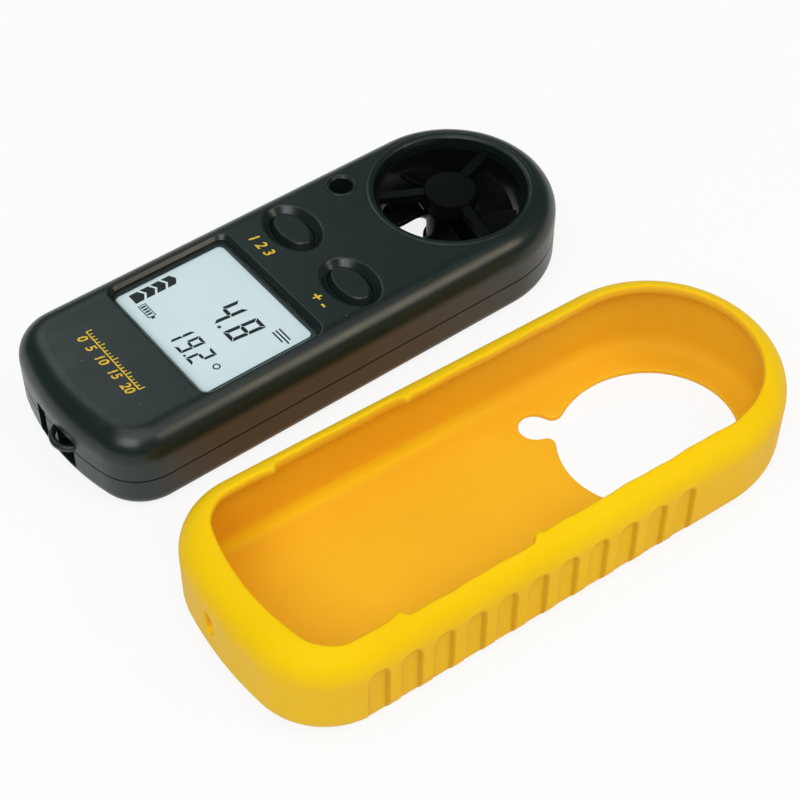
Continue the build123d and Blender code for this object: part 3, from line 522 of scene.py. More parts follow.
# where the straight sides begin, how a groove's edge eases in, and the band of painted shade on it
GRIP_SIDE_Y, GRIP_SIDE_EASE, GRIP_EDGE, GRIP_EDGE_EASE = 20.5, 1.2, 0.20, 0.50
GROOVE_SHADE_INSET, GROOVE_SHADE_W, GROOVE_SHADE_LEAST = 0.12, 0.26, 0.15
NEAR_DEPTH, FAR_DEPTH = -2, 12
BOOT_YAW = np.radians(-2.3)


def plan_outline(half, top_x, end_x, corner_r, bulge_r, steps=900):
    """Closed plan with one round end, straight sides and a bowed end with round corners, from
    the -Y end of the round end anticlockwise. Arcs are centre plus radius times the unit circle."""
    bow_x, corner_y = end_x + bulge_r, half - corner_r
    corner_x = bow_x - np.sqrt((bulge_r - corner_r) ** 2 - corner_y**2)
    meet = np.arcsin(corner_y / (bulge_r - corner_r))

    def arc(x, y, radius, start, stop):
        return np.array((x, y)) + radius * circle(np.linspace(start, stop, steps, endpoint=False))

    def line(x0, x1, y):
        return np.column_stack([np.linspace(x0, x1, steps, endpoint=False), np.full(steps, y)])

    quarter, half_turn = np.pi / 2, np.pi
    return np.vstack([
        arc(top_x - half, 0, half, -quarter, quarter),
        line(top_x - half, corner_x, half),
        arc(corner_x, corner_y, corner_r, quarter, half_turn - meet),
        arc(bow_x, 0, bulge_r, half_turn - meet, half_turn + meet),
        arc(corner_x, -corner_y, corner_r, half_turn + meet, half_turn + quarter),
        line(corner_x, top_x - half, -half),
    ])


def boot_stations(total):
    """Lengths along the outer plan at which the boot's cross-sections stand: close together at
    each groove's edges and around the end slot, wider on the plain curves."""
    half, top_x = OUTSIDE[:2]
    nose_arc, nose_x = np.pi * half, top_x - half
    edge = GRIP_HALF_W + GRIP_OFFSETS
    offsets = np.concatenate([-edge[::-1], GRIP_MIDDLE, edge])
    plain = np.linspace(SIDE_START, nose_x - 1, 7)
    sides = np.concatenate([(GRIP_X[:, None] + offsets).ravel(), plain])
    plus_side = nose_arc + nose_x - sides
    minus_side = total - (nose_x - sides)
    flat_start, flat_stop = plus_side.max(), minus_side.min()
    wide = SLOT_HALF_W + SLOT_LEAD
    beside = np.linspace(SLOT_SIDE[0] + wide, SLOT_SIDE[1], 4)
    slot = (flat_start + flat_stop) / 2 - SLOT_Y
    slot = slot + np.concatenate([-beside[::-1], np.linspace(-wide, wide, 9), beside])
    corner = np.arange(flat_start + AFTER_SIDE, slot.min() - BEFORE_SIDE, STATION_STEP)
    other_corner = np.arange(slot.max() + AFTER_SIDE, flat_stop - BEFORE_SIDE, STATION_STEP)
    nose = np.linspace(0, nose_arc, NOSE_STATIONS)
    everywhere = np.concatenate([plus_side, minus_side, nose, slot, corner, other_corner])
    stations = np.unique(np.round(everywhere, 4))
    stations = stations[stations < total - STATION_LEAST]
    return stations[np.concatenate([[True], np.diff(stations) > STATION_LEAST])]


def across_to(points, normals, outline):
    """Where the inward normal from each point meets an outline: the place along the outline
    where the sideways distance from the normal line changes sign, on the near side."""
    ring = np.vstack([outline, outline[:1]])
    gap = ring[None] - points[:, None]
    side = gap[..., 0] * -normals[:, None, 1] + gap[..., 1] * normals[:, None, 0]
    depth = -(gap * normals[:, None]).sum(-1)
    near = (depth[:, :-1] < FAR_DEPTH) & (depth[:, :-1] > NEAR_DEPTH)
    first = ((side[:, :-1] * side[:, 1:] <= 0) & near).argmax(axis=1)
    row = np.arange(len(points))
    share = side[row, first] / (side[row, first] - side[row, first + 1] + 1e-12)
    return ring[first] + (ring[first + 1] - ring[first]) * share[:, None]


def mouth_outline():
    """Plan of the mouth: the plain outline, let out beside the display by a depth that eases in,
    with a small tooth at each end of that notch and two slow waves."""
    points = plan_outline(*MOUTH)
    x, y = points[:, 0], points[:, 1]
    notch = ease((x - NOTCH_X[0]) / NOTCH_EASE + 0.5) * ease((NOTCH_X[1] - x) / NOTCH_EASE + 0.5)
    wave = 0.07 * np.sin(x * 0.43) + 0.05 * np.sin(x * 0.97 + 1.0)
    teeth = sum(np.exp(-(((x - at) / TOOTH_W) ** 2)) for at in (NOTCH_X[0] - 1.0, NOTCH_X[1] + 1.0))
    on_sides = ease((np.abs(y) - 14) / 2)
    shift = np.sign(y) * on_sides * (NOTCH_DEPTH * notch + wave - TOOTH_DEPTH * teeth)
    return np.column_stack([x, y + shift])


def soft_min(a, b, blend):
    """Smaller of two distances, rounded where they are within the blend of each other."""
    h = np.clip(0.5 + 0.5 * (b - a) / blend, 0, 1)
    return b + (a - b) * h - blend * h * (1 - h)


def hole_distance(points):
    """Distance to the floor's opening, negative inside: an oval, a neck and a round keyhole."""
    towards = KEYHOLE - HOLE
    reach = np.linalg.norm(towards)
    away = points - HOLE
    oval = (np.linalg.norm(away / HOLE_R, axis=-1) - 1) * HOLE_R.mean()
    share = np.clip(away @ towards / reach**2, 0, 1)
    neck = np.linalg.norm(away - share[:, None] * towards, axis=-1) - NECK_HALF_W
    bulb = np.linalg.norm(points - KEYHOLE, axis=-1) - KEYHOLE_R
    return soft_min(oval, soft_min(neck, bulb, BULB_BLEND), NECK_BLEND)


def hole_outline(steps=720):
    """Plan of the floor's opening: the zero level of its distance, found by halving along rays
    that swing round once. The rays' origin slides from the oval to the keyhole and back."""
    towards = KEYHOLE - HOLE
    turn = np.linspace(0, 1, steps, endpoint=False)
    knots = np.array((0.30, 0.32, 0.34, 0.36, 0.38))
    knots = np.concatenate([(0,), knots, 1 - knots[::-1], (1,)])
    swing = np.array((180, 19, 27, 42, 75, 112))
    swing = np.radians(np.interp(turn, knots, np.concatenate([-swing, swing[::-1]])))
    slide = np.array((0, 0, 0.5, 0.7, 0.85, 1))
    slide = np.interp(turn, knots, np.concatenate([slide, slide[::-1]]))
    origin = HOLE + towards * slide[:, None]
    ray = circle(np.arctan2(towards[1], towards[0]) + swing)
    low, high = np.zeros(steps), np.full(steps, 24.0)
    for _ in range(40):
        middle = (low + high) / 2
        inside = hole_distance(origin + ray * middle[:, None]) < 0
        low, high = np.where(inside, middle, low), np.where(inside, high, middle)
    return origin + ray * low[:, None]


def bearing(points):
    """Angle round the opening's centre in degrees, from -180 to 180, with 0 at the keyhole."""
    away, towards = points - HOLE, KEYHOLE - HOLE
    angle = np.arctan2(away[:, 1], away[:, 0]) - np.arctan2(towards[1], towards[0])
    return np.mod(np.degrees(angle) + 180, 360) - 180


def hole_partners(points):
    """The opening's edge point for each plan point, and the edge's normal there. The bearing sets
    how far along the edge the partner is; the keyhole's edge gets a wide share of bearings."""
    outline = hole_outline()
    lengths, ring = closed_curve(outline)
    angle = bearing(outline)
    near = np.flatnonzero(np.abs(angle) < NECK_ANGLE)
    first, last = near[0], near[-1]
    low = np.interp(angle[:first], (-180, -NECK_ANGLE), (-180, NECK_SHARES[0]))
    high = np.interp(angle[last + 1:], (NECK_ANGLE, 180), (NECK_SHARES[1], 180))
    bearings = np.maximum.accumulate(np.concatenate([low, NECK_SHARES, high, (180.0,)]))
    edge = np.concatenate([lengths[:first], lengths[[first, last]], lengths[last + 1:]])
    at = np.interp(bearing(points), bearings, edge)
    return along(lengths, ring, at), normal_at(lengths, ring, at, 0.3)


def grip_edge(x, z):
    """Distance outside the nearest side groove, an upright slot with a round top, and how far
    the point lies from the groove's middle towards the nose."""
    from_middle = x - GRIP_X[np.abs(x[..., None] - GRIP_X).argmin(-1)]
    above = np.maximum(z - (GRIP_TOP - GRIP_HALF_W), 0)
    return np.hypot(from_middle, above) - GRIP_HALF_W, from_middle


def slot_shift(y, z):
    """Moves points round the end slot so that a rectangle of the grid becomes a slot with round
    ends. The shift is that of the nearest point of the rectangle, and fades out with distance."""
    wide, tall = SLOT_HALF_W + SLOT_LEAD, SLOT_HALF_H + SLOT_LEAD
    a, b = y - SLOT_Y, z - SLOT_Z
    ca, cb = np.clip(a, -wide, wide), np.clip(b, -tall, tall)
    p, q = ca / wide, np.clip((np.abs(cb) - (tall - wide)) / wide, 0, 1)
    da = wide * (p * np.sqrt(1 - q * q / 2)) - ca
    db = np.where(q > 0, np.sign(cb) * (tall - wide + wide * q * np.sqrt(1 - p * p / 2)) - cb, 0)
    fade = ease(1 - np.hypot(a - ca, b - cb) / SLOT_FADE)
    return da * fade, db * fade


class BootRows:
    """The boot's surface as rows of cross-section points by columns of stations: over the rim,
    down the wall, under the base, up through the floor's opening, across the floor and up the
    pocket's wall to the lip. Each row is a plan point moved inwards, and a height."""

    def __init__(self):
        lengths, ring = closed_curve(plan_outline(*OUTSIDE))
        stations = boot_stations(lengths[-1])
        self.outer = along(lengths, ring, stations)
        self.normal = normal_at(lengths, ring, stations, 0.2)
        self.pocket = across_to(self.outer, self.normal, plan_outline(*POCKET))
        mouth = across_to(self.outer, self.normal, mouth_outline())
        self.lip = mouth + self.normal * LIP_R
        self.rows = []
        lip_top = self.add_rim()
        self.outer_first = len(self.rows)
        self.add_wall(self.outer, RIM_R, RIM_Z - RIM_R, WALL_HEIGHTS)
        self.add_fillet(self.outer, BASE_R, np.radians((0, 14, 28, 42, 56, 70, 82, 90)), BASE_R, -BASE_R)
        self.groove_rows = slice(0, len(self.rows))
        self.add_floor()
        self.inner_first = len(self.rows)
        self.add_wall(self.pocket, POCKET_TOP_R, POCKET_TOP_Z - POCKET_TOP_R, WALL_HEIGHTS[::-1])
        self.add_lip(lip_top)

    def add(self, plan, z):
        self.rows.append(at_height(plan, z))

    def inward(self, base, distance):
        return base - self.normal * np.broadcast_to(distance, (len(base),))[:, None]

    def add_wall(self, base, radius, top, heights):
        """A wall that is upright below the top and rounds inwards above it by the radius."""
        for z in heights:
            rise = max(z - top, 0)
            self.add(self.inward(base, radius - np.sqrt(radius**2 - rise**2)), z)

    def add_fillet(self, base, radius, turns, middle_z, rise):
        """Rows on a quarter round: inwards by radius less its cosine, up by rise times the sine."""
        for turn in turns:
            self.add(self.inward(base, radius * (1 - np.cos(turn))), middle_z + rise * np.sin(turn))

    def add_flat(self, start, stop, shares, z):
        for share in shares:
            self.add(start + (stop - start) * share, z)

    def add_rim(self):
        """From the lip outwards: a flat where the rim is wider than its rounding, then the
        rounding down to 18 degrees above the wall. Gives the height of the lip's top."""
        depth = ((self.outer - self.lip) * self.normal).sum(1)
        start = np.arccos((RIM_R - np.minimum(depth, RIM_R)) / RIM_R)
        flat = np.maximum(depth - RIM_R, 0)
        for share in np.linspace(0, 1, 14):
            gone = share * (flat + RIM_R * (start - np.radians(18)))
            turn = start - np.maximum(gone - flat, 0) / RIM_R
            inset = RIM_R * (1 - np.cos(turn)) + np.maximum(flat - gone, 0)
            self.add(self.inward(self.outer, inset), RIM_Z - RIM_R + RIM_R * np.sin(turn))
        return RIM_Z - RIM_R + np.sqrt(RIM_R**2 - np.maximum(RIM_R - depth, 0) ** 2)

    def add_floor(self):
        """Under the base to the opening, round its edge, and back across the floor to the cove."""
        hole, hole_out = hole_partners(self.pocket)
        edge = hole + hole_out * HOLE_EDGE_R
        base, foot = self.inward(self.outer, BASE_R), self.inward(self.pocket, POCKET_LOW_R)
        self.add_flat(base, edge, (0.06, 0.16, 0.30, 0.45, 0.60, 0.75, 0.88, 0.96), 0.0)
        for turn in np.radians((-90, -60, -30, 0, 30, 60, 90)):
            self.add(edge - hole_out * (HOLE_EDGE_R * np.cos(turn)), FLOOR_Z / 2 * (1 + np.sin(turn)))
        self.add_flat(edge, foot, (0.04, 0.12, 0.25, 0.40, 0.55, 0.70, 0.84, 0.94), FLOOR_Z)
        cove = np.radians((90, 76, 62, 48, 34, 20, 8))
        self.add_fillet(self.pocket, POCKET_LOW_R, cove, FLOOR_Z + POCKET_LOW_R, -POCKET_LOW_R)

    def add_lip(self, lip_top):
        """The pocket's rounded top as far as the lip, then round the lip's edge to the rim."""
        wall_top = POCKET_TOP_Z - POCKET_TOP_R
        under = np.maximum(POCKET_TOP_R - ((self.pocket - self.lip) * self.normal).sum(1), 0)
        rise = np.sqrt(np.maximum(POCKET_TOP_R**2 - under**2, 0))
        start = np.arcsin((WALL_HEIGHTS[0] - wall_top) / POCKET_TOP_R)
        stop = np.arcsin(np.clip(rise / POCKET_TOP_R, 0, 1))
        turns = [start + (stop - start) * share for share in (0.35, 0.7, 1.0)]
        self.add_fillet(self.pocket, POCKET_TOP_R, turns, wall_top, POCKET_TOP_R)
        centre, tall = (lip_top + wall_top + rise) / 2, (lip_top - wall_top - rise) / 2
        for turn in np.radians((-62, -35, -10, 15, 40, 66)):
            self.add(self.lip - self.normal * (LIP_R * np.cos(turn)), centre + tall * np.sin(turn))


def press_grooves(grid, boot):
    """Moves the wall and the base's rounding inwards at the side grooves. Gives the share of painted
    shade at each point: a dark band along each groove's edge, most of it on the side towards the nose."""
    wall = grid[boot.groove_rows]
    z = wall[..., 2]
    edge, from_middle = grip_edge(wall[..., 0], z)
    on_sides = ease((np.abs(boot.outer[:, 1]) - GRIP_SIDE_Y) / GRIP_SIDE_EASE)
    already = ((boot.outer[None] - wall[..., :2]) * boot.normal[None]).sum(-1)
    wanted = GRIP_DEPTH * ease((GRIP_EDGE - edge) / GRIP_EDGE_EASE) * on_sides
    push = np.maximum(wanted - already * (z < BASE_R), 0)
    wall[..., :2] -= boot.normal[None] * push[..., None]
    groove_shade = np.zeros(grid.shape[:2])
    # painted shade: a dark band along each groove's edge, heavier on its side towards the nose
    band = np.exp(-(((edge + GROOVE_SHADE_INSET) / GROOVE_SHADE_W) ** 2))
    lee = GROOVE_SHADE_LEAST + (1 - GROOVE_SHADE_LEAST) * ease((from_middle + 0.4) / 1.6)
    groove_shade[boot.groove_rows] = band * lee * on_sides * ease((z - 0.4) / 1.2)
    return groove_shade


def round_block(index, rows, columns):
    """Vertex numbers round a block of the grid."""
    block = index[np.ix_(rows, columns)]
    return np.concatenate([block[0], block[1:, -1], block[-1, -2::-1], block[-2:0:-1, 0]])


def build_boot():
    """Soft boot: one closed skin, with side grooves pressed in and a slot through its flat end."""
    boot = BootRows()
    grid = np.array(boot.rows)
    row_count, count = grid.shape[:2]
    groove_shade = press_grooves(grid, boot)

    # end slot: the grid moves round it, on the outer wall and on the pocket's wall
    at_end = boot.outer[:, 0] < NEAR_END_X
    for first in (boot.outer_first, boot.inner_first):
        block = grid[first:first + len(WALL_HEIGHTS)]
        dy, dz = slot_shift(block[..., 1], block[..., 2])
        block[..., 1] += dy * at_end
        block[..., 2] += dz * at_end

    # the quads inside the slot go, and a tunnel through the wall joins the two openings
    reach_y, reach_z = SLOT_HALF_W + SLOT_LEAD + 0.1, SLOT_HALF_H + SLOT_LEAD + 0.01
    columns = np.flatnonzero((np.abs(boot.outer[:, 1] - SLOT_Y) < reach_y) & at_end)
    steps_down = np.flatnonzero(np.abs(np.array(WALL_HEIGHTS) - SLOT_Z) < reach_z)
    outer_rows = boot.outer_first + steps_down
    inner_rows = boot.inner_first + len(WALL_HEIGHTS) - 1 - steps_down
    index = numbered(row_count, count)
    quads = grid_quads(index, wrap_rows=True, wrap_columns=True)
    removed = np.zeros(row_count * count, bool)
    for rows in (outer_rows[:-1], inner_rows[1:]):
        removed[index[np.ix_(rows, columns[:-1])]] = True
    quads = quads[~removed[quads[:, 0]]]
    points = grid.reshape(-1, 3)
    outer_loop, inner_loop = (round_block(index, rows, columns) for rows in (outer_rows, inner_rows))
    start, stop = points[outer_loop], points[inner_loop]
    straight = SLOT_HALF_H - SLOT_HALF_W
    core_z = np.clip(start[:, 2], SLOT_Z - straight, SLOT_Z + straight)
    aside = np.column_stack([np.zeros(len(start)), start[:, 1] - SLOT_Y, start[:, 2] - core_z])
    aside /= np.linalg.norm(aside, axis=1)[:, None]
    rings = [start + (stop - start) * share - aside * narrower for share, narrower in SLOT_RINGS]
    ring_index = numbered(len(rings), len(start), len(points))
    tunnel = grid_quads(np.vstack([outer_loop, ring_index, inner_loop]), wrap_columns=True)
    points = np.vstack([points, *rings])
    groove_shade = np.concatenate([groove_shade.ravel(), np.zeros(ring_index.size)])

    # only the vertices in use stay, and each face is turned to look outwards
    faces = np.vstack([quads, tunnel])[:, ::-1]
    used = np.unique(faces)
    fresh = np.full(len(points), -1)
    fresh[used] = np.arange(len(used))
    points = points[used]
    c, s = np.cos(BOOT_YAW), np.sin(BOOT_YAW)
    points[:, :2] = points[:, :2] @ np.array(((c, s), (-s, c)))
    low, high = (np.array(corner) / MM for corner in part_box("protective_boot"))
    middle = (points[:, :2].min(0) + points[:, :2].max(0)) / 2
    points[:, :2] += (low[:2] + high[:2]) / 2 - middle
    rubber = FINISHES["boot_rubber"]
    piece = add_piece("boot_skin", points, fresh[faces].tolist(), rubber, "boot")
    layer = piece.data.attributes.new(GROOVE_SHADE_LAYER, "FLOAT", "POINT")
    layer.data.foreach_set("value", groove_shade[used].astype(np.float32))
    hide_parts("protective_boot")


build_boot()


# ---------------------------------------------------------------- display
WINDOW_LOW, WINDOW_HIGH = (np.array(corner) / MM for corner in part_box("display_window"))
GLASS_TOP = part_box("lcd_panel")[1].z / MM
SEGMENT_Z = (GLASS_TOP + 0.005, GLASS_TOP + 0.035)
BORDER_Z = (GLASS_TOP + 0.10, GLASS_TOP + 0.16)
BORDER_MARGIN, BORDER_X, BORDER_Y = 0.15, 1.9, 1.95
BORDER_SHIFT, BORDER_OUT_R, BORDER_IN_R = np.array((-0.35, 0.1, 0)), 2.0, 1.1
SLANT = np.tan(np.radians(5.8))
# low edge, height, stroke, and gap between the bars of a figure
LARGE, SMALL = (-21.8, 6.85, 0.74, 0.1), (-30.4, 4.9, 0.54, 0.07)
# figure, left edge, width and row
FIGURES = (
    ("4", -1.5, 3.0, LARGE), ("8", 4.0, 2.95, LARGE),
    ("1", -1.55, 2.15, SMALL), ("9", 1.75, 2.15, SMALL), ("2", 5.25, 2.15, SMALL),
)
# left and right, low and high edges, and lean
DECIMAL_POINTS = ((2.25, 2.85, -21.8, -21.2, 0.06), (4.45, 4.9, -30.4, -29.95, 0.05))
CHEVRON_X, CHEVRON_LOW, CHEVRON_STEP, CHEVRON_H, CHEVRON_TIP = (-13.6, -11.1), -30.0, 2.25, 1.75, 0.75
CELL_X, CELL_Y, CELL_LINE = (-10.3, -6.7), (-30.2, -28.6), 0.16
CELL_TERMINAL = (-6.65, -6.2, -29.75, -29.05)
CELL_BARS, CELL_BAR_W, CELL_BAR_Y = (-9.85, -9.15, -8.45, -7.75), 0.38, (-29.9, -28.9)
UNIT_LEFT, UNIT_T, UNIT_BARS = 9.3, 0.3, ((-14.95, 12.3), (-14.25, 13.3), (-13.55, 12.7))
DEGREE_RING = (10.2, -27.2, 0.72, 0.26, 2, 358)
LIT = {"1": "bc", "2": "abged", "4": "fgbc", "8": "abcdefg", "9": "abcdfg"}


def to_face(across, along_face):
    """Reading directions on the face: across runs towards -Y, along_face towards +X."""
    return np.column_stack([along_face, -np.asarray(across)])


def plates(name, outlines, heights, finish):
    """Thin plates: each outline once at the low height and once at the high one, joined by
    upright quads and closed by a face at each end."""
    points, faces, start = [], [], 0
    for outline in outlines:
        count = len(outline)
        points += [at_height(outline, z) for z in heights]
        ring = start + np.arange(count)
        after = np.roll(ring, -1)
        faces += [ring[::-1].tolist(), (ring + count).tolist()]
        faces += np.stack([ring, after, after + count, ring + count], axis=1).tolist()
        start += 2 * count
    return add_piece(name, np.vstack(points), faces, finish, "case", smooth=False)


def figure_outlines(value, left, width, row):
    """Outlines of a seven-segment figure: four upright bars and three flat ones, mitred where
    they meet, and all leaning to the right by the slant."""
    low, height, stroke, gap = row
    middle, half = height / 2, stroke / 2
    right, under = width - gap, height - stroke
    flat = [(right, height), (gap, height), (stroke + gap, under), (right - stroke, under)]
    upright = [(0, height - gap), (0, middle + gap), (half, middle + gap),
               (stroke, middle + half + gap), (stroke, under - gap)]
    bar = [(half + gap, middle), (stroke + gap, middle - half), (right - stroke, middle - half),
           (right - half, middle), (right - stroke, middle + half), (stroke + gap, middle + half)]

    def turned(shape, flip_x=False, flip_y=False):
        shape = np.array(shape)
        shape[:, 0] = width - shape[:, 0] if flip_x else shape[:, 0]
        shape[:, 1] = height - shape[:, 1] if flip_y else shape[:, 1]
        return shape[::-1] if flip_x != flip_y else shape

    segments = {
        "a": turned(flat), "b": turned(upright, flip_x=True), "c": turned(upright, True, True),
        "d": turned(flat, flip_y=True), "e": turned(upright, flip_y=True), "f": turned(upright),
        "g": turned(bar),
    }
    shapes = [segments[letter] for letter in LIT[value]]
    return [to_face(left + shape[:, 0] + SLANT * shape[:, 1], low + shape[:, 1]) for shape in shapes]


def bar_outline(left, right, low, high, lean=0.0):
    """Four-sided plate, leaning to the right by lean over its height."""
    return to_face(np.array((left, right, right + lean, left + lean)), np.array((low, low, high, high)))


def chevron_outline(step):
    """One of the growing bars: pointed on top, and notched below except for the first."""
    low = CHEVRON_LOW + CHEVRON_STEP * step
    (left, right), top = CHEVRON_X, low + CHEVRON_H
    middle, notch = (left + right) / 2, CHEVRON_TIP * (step > 0)
    across = np.array((left, middle, right, right, middle, left))
    return to_face(across, np.array((low, low + notch, low, top, top + CHEVRON_TIP, top)))


def cell_outlines():
    """Small battery: a frame of four bars, its terminal, and the charge as upright bars."""
    (left, right), (low, high), line = CELL_X, CELL_Y, CELL_LINE
    side_low, side_high = low + line + 0.04, high - line - 0.04
    frame_bars = [
        (left, right, low, low + line), (left, right, high - line, high),
        (left, left + line, side_low, side_high), (right - line, right, side_low, side_high),
    ]
    charge = [(at, at + CELL_BAR_W, *CELL_BAR_Y) for at in CELL_BARS]
    return [bar_outline(*edges) for edges in (*frame_bars, CELL_TERMINAL, *charge)]


def hoop_outline(across, along_face, radius, stroke, start, stop):
    """Part of a hoop: an outer arc one way and an inner arc back."""
    outer = circle(np.radians(np.linspace(start, stop, 40))) * radius
    both = np.vstack([outer, outer[::-1] * (1 - stroke / radius)])
    return to_face(across + both[:, 0], along_face + both[:, 1])


def round_rectangle(centre, half_x, half_y, radius, steps=12):
    """Closed plan: each corner is a quarter turn about its own centre."""
    turn = np.radians(np.linspace(0, 90, steps))[None] + np.radians((0, 90, 180, 270))[:, None]
    sign_x, sign_y = np.array((1, -1, -1, 1))[:, None], np.array((1, 1, -1, -1))[:, None]
    x = centre[0] + sign_x * (half_x - radius) + radius * np.cos(turn)
    y = centre[1] + sign_y * (half_y - radius) + radius * np.sin(turn)
    return np.column_stack([x.ravel(), y.ravel()])


def build_segments():
    """The lit segments: two readings, bars that grow upwards, a battery and two unit marks."""
    outlines = [outline for figure in FIGURES for outline in figure_outlines(*figure)]
    outlines += [bar_outline(*edges) for edges in DECIMAL_POINTS]
    outlines += [chevron_outline(step) for step in range(4)] + cell_outlines()
    outlines += [bar_outline(UNIT_LEFT, right, low, low + UNIT_T, 0.04) for low, right in UNIT_BARS]
    outlines.append(hoop_outline(*DEGREE_RING))
    plates("display_segments", outlines, SEGMENT_Z, segment_finish())


def build_border():
    """Printed border under the window: an outer and an inner round rectangle, joined by a wall
    on each side and a flat above and below."""
    centre, half = (WINDOW_LOW + WINDOW_HIGH) / 2, (WINDOW_HIGH - WINDOW_LOW) / 2
    outer = round_rectangle(centre, *(half[:2] - BORDER_MARGIN), BORDER_OUT_R)
    inner = round_rectangle(centre + BORDER_SHIFT, half[0] - BORDER_X, half[1] - BORDER_Y, BORDER_IN_R)
    low, high = BORDER_Z
    rows = [at_height(*row) for row in ((outer, low), (outer, high), (inner, high), (inner, low))]
    faces = grid_quads(numbered(4, len(outer)), wrap_rows=True, wrap_columns=True)
    border = border_finish()
    add_piece("display_border", np.vstack(rows), faces, border, "case", smooth=False)


build_segments()
build_border()


# ---------------------------------------------------------------- prints
INK, PRINT_T = ink_finish(), 0.03
SCALE_ENDS, SCALE_LINE, SCALE_FOOT, TICK_HALF_W = (-8.9, 8.1), (-41.55, -41.32), -41.3, 0.11
TICK_H, LONG_TICK_H, LONG_EVERY = 0.55, 0.95, 5
# piece, figures, size, place across and along the face, and letter spacing
FIGURE_PRINTS = (
    ("print_mode_figures", "1 2 3", 2.9, -8.6, -4.75, 1.05),
    ("print_set_figures", "+ -", 3.4, 9.2, -4.6, 1.0),
    ("print_scale_figures", "0  5  10  15  20", 2.5, -0.4, -42.9, 1.05),
)


def print_figures(name, text, size, across, along_face, spacing):
    """Raised ink in the shape of figures, read along the width of the face."""
    curve = bpy.data.curves.new(name, "FONT")
    curve.body, curve.size, curve.shear, curve.space_character = text, size, 0.22, spacing
    curve.align_x, curve.align_y, curve.offset, curve.extrude = "CENTER", "CENTER", 0.045, PRINT_T / 2
    curve.resolution_u = 5
    holder = bpy.data.objects.new(name + "_text", curve)
    scene.collection.objects.link(holder)
    bpy.context.view_layer.update()
    mesh = bpy.data.meshes.new_from_object(holder)
    bpy.data.objects.remove(holder)
    bpy.data.curves.remove(curve)
    joined = bmesh.new()
    joined.from_mesh(mesh)
    bmesh.ops.remove_doubles(joined, verts=joined.verts, dist=0.001)
    joined.to_mesh(mesh)
    joined.free()
    middle_z = face_z + PRINT_T / 2
    turn = Matrix(((0, 1, 0, along_face), (-1, 0, 0, -across), (0, 0, 1, middle_z), (0, 0, 0, 1)))
    mesh.transform(Matrix.Scale(MM, 4) @ turn)
    mesh.name = name
    add_mesh(name, mesh, INK, "case")


def build_scale():
    """Scale across the flat end: a line and its ticks, every fifth one longer."""
    start, stop = SCALE_ENDS
    outlines = []
    for number, at in enumerate(np.linspace(start, stop, 21)):
        top = SCALE_FOOT + (TICK_H if number % LONG_EVERY else LONG_TICK_H)
        outlines.append(bar_outline(at - TICK_HALF_W, at + TICK_HALF_W, SCALE_FOOT, top, 0.1))
    outlines.append(bar_outline(start - TICK_HALF_W, stop + TICK_HALF_W, *SCALE_LINE))
    plates("print_scale_ticks", outlines, (face_z, face_z + PRINT_T), INK)


for figure_print in FIGURE_PRINTS:
    print_figures(*figure_print)
build_scale()


# ---------------------------------------------------------------- screws and lips
SCREW_PLACES = ((-46.5, 12.5), (-46.5, -12.5), (12.0, 15.7), (12.0, -15.7))
SCREW_HEAD_R, SCREW_SHANK_R, SCREW_TIP_R, SCREW_HEAD_H, SCREW_TIP_H = 1.7, 0.85, 0.3, 1.2, 0.8
# in shares of the head's radius, save for the heights
CROSS_HALF_W, CROSS_SIDE, CROSS_REACH, CROSS_END, CROSS_DEPTH = 0.17, 0.10, 0.62, 0.12, 0.55
DOME_DROP, DOME_EDGE, DOME_EDGE_DROP = 0.28, 0.8, 0.30
LIP_RISE, LIP_FOOT = 0.17, 0.03
# centre, inner radius and outer radius of the lips round the duct's mouth and the sensor's hole
LIPS = (((32.5, 0.0), 14.8, 15.9), ((16.6, 12.9), 2.45, 3.05))


def build_case_screws():
    """Pan heads with a cross recess: a square grid laid over a disc, its height a shallow dome
    less the recess, then the rim, the underside and the shank as rings to a closed tip."""
    side = np.linspace(-1, 1, 37)
    a, b = np.meshgrid(side, side, indexing="ij")
    x, y = a * np.sqrt(1 - b * b / 2), b * np.sqrt(1 - a * a / 2)
    reach = np.hypot(x, y)
    narrow = np.minimum(np.abs(x), np.abs(y))
    cross = ease((CROSS_HALF_W - narrow) / CROSS_SIDE) * ease((CROSS_REACH - reach) / CROSS_END)
    low, high = (np.array(corner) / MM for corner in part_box("case_screws"))
    edge_drop = DOME_EDGE_DROP * np.maximum(reach - DOME_EDGE, 0) / (1 - DOME_EDGE)
    dome = low[2] + DOME_DROP * reach**2 + edge_drop + CROSS_DEPTH * cross
    index = numbered(side.size, side.size)
    loop = np.concatenate([index[:-1, 0], index[-1, :-1], index[:0:-1, -1], index[0, :0:-1]])
    head = np.column_stack([x.ravel() * SCREW_HEAD_R, y.ravel() * SCREW_HEAD_R, dome.ravel()])
    edge = head[loop, :2] / SCREW_HEAD_R
    under_head, tip_z = low[2] + SCREW_HEAD_H, high[2]
    rings = [(SCREW_HEAD_R, under_head), (SCREW_SHANK_R, under_head),
             (SCREW_SHANK_R, tip_z - SCREW_TIP_H), (SCREW_TIP_R, tip_z)]
    points = np.vstack([head, *[at_height(edge * radius, z) for radius, z in rings]])
    ring_index = numbered(len(rings), len(loop), index.size)
    quads = np.vstack([grid_quads(index), grid_quads(np.vstack([loop, ring_index]), wrap_columns=True)])
    shells, faces = [], []
    for number, place in enumerate(SCREW_PLACES):
        start = number * len(points)
        shells.append(points + np.array((*place, 0)))
        faces += (quads + start).tolist() + [(ring_index[-1] + start).tolist()]
    steel = FINISHES["screw_steel"]
    screws = add_piece("case_screws_cross", np.vstack(shells), faces, steel, "case")
    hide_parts("case_screws")


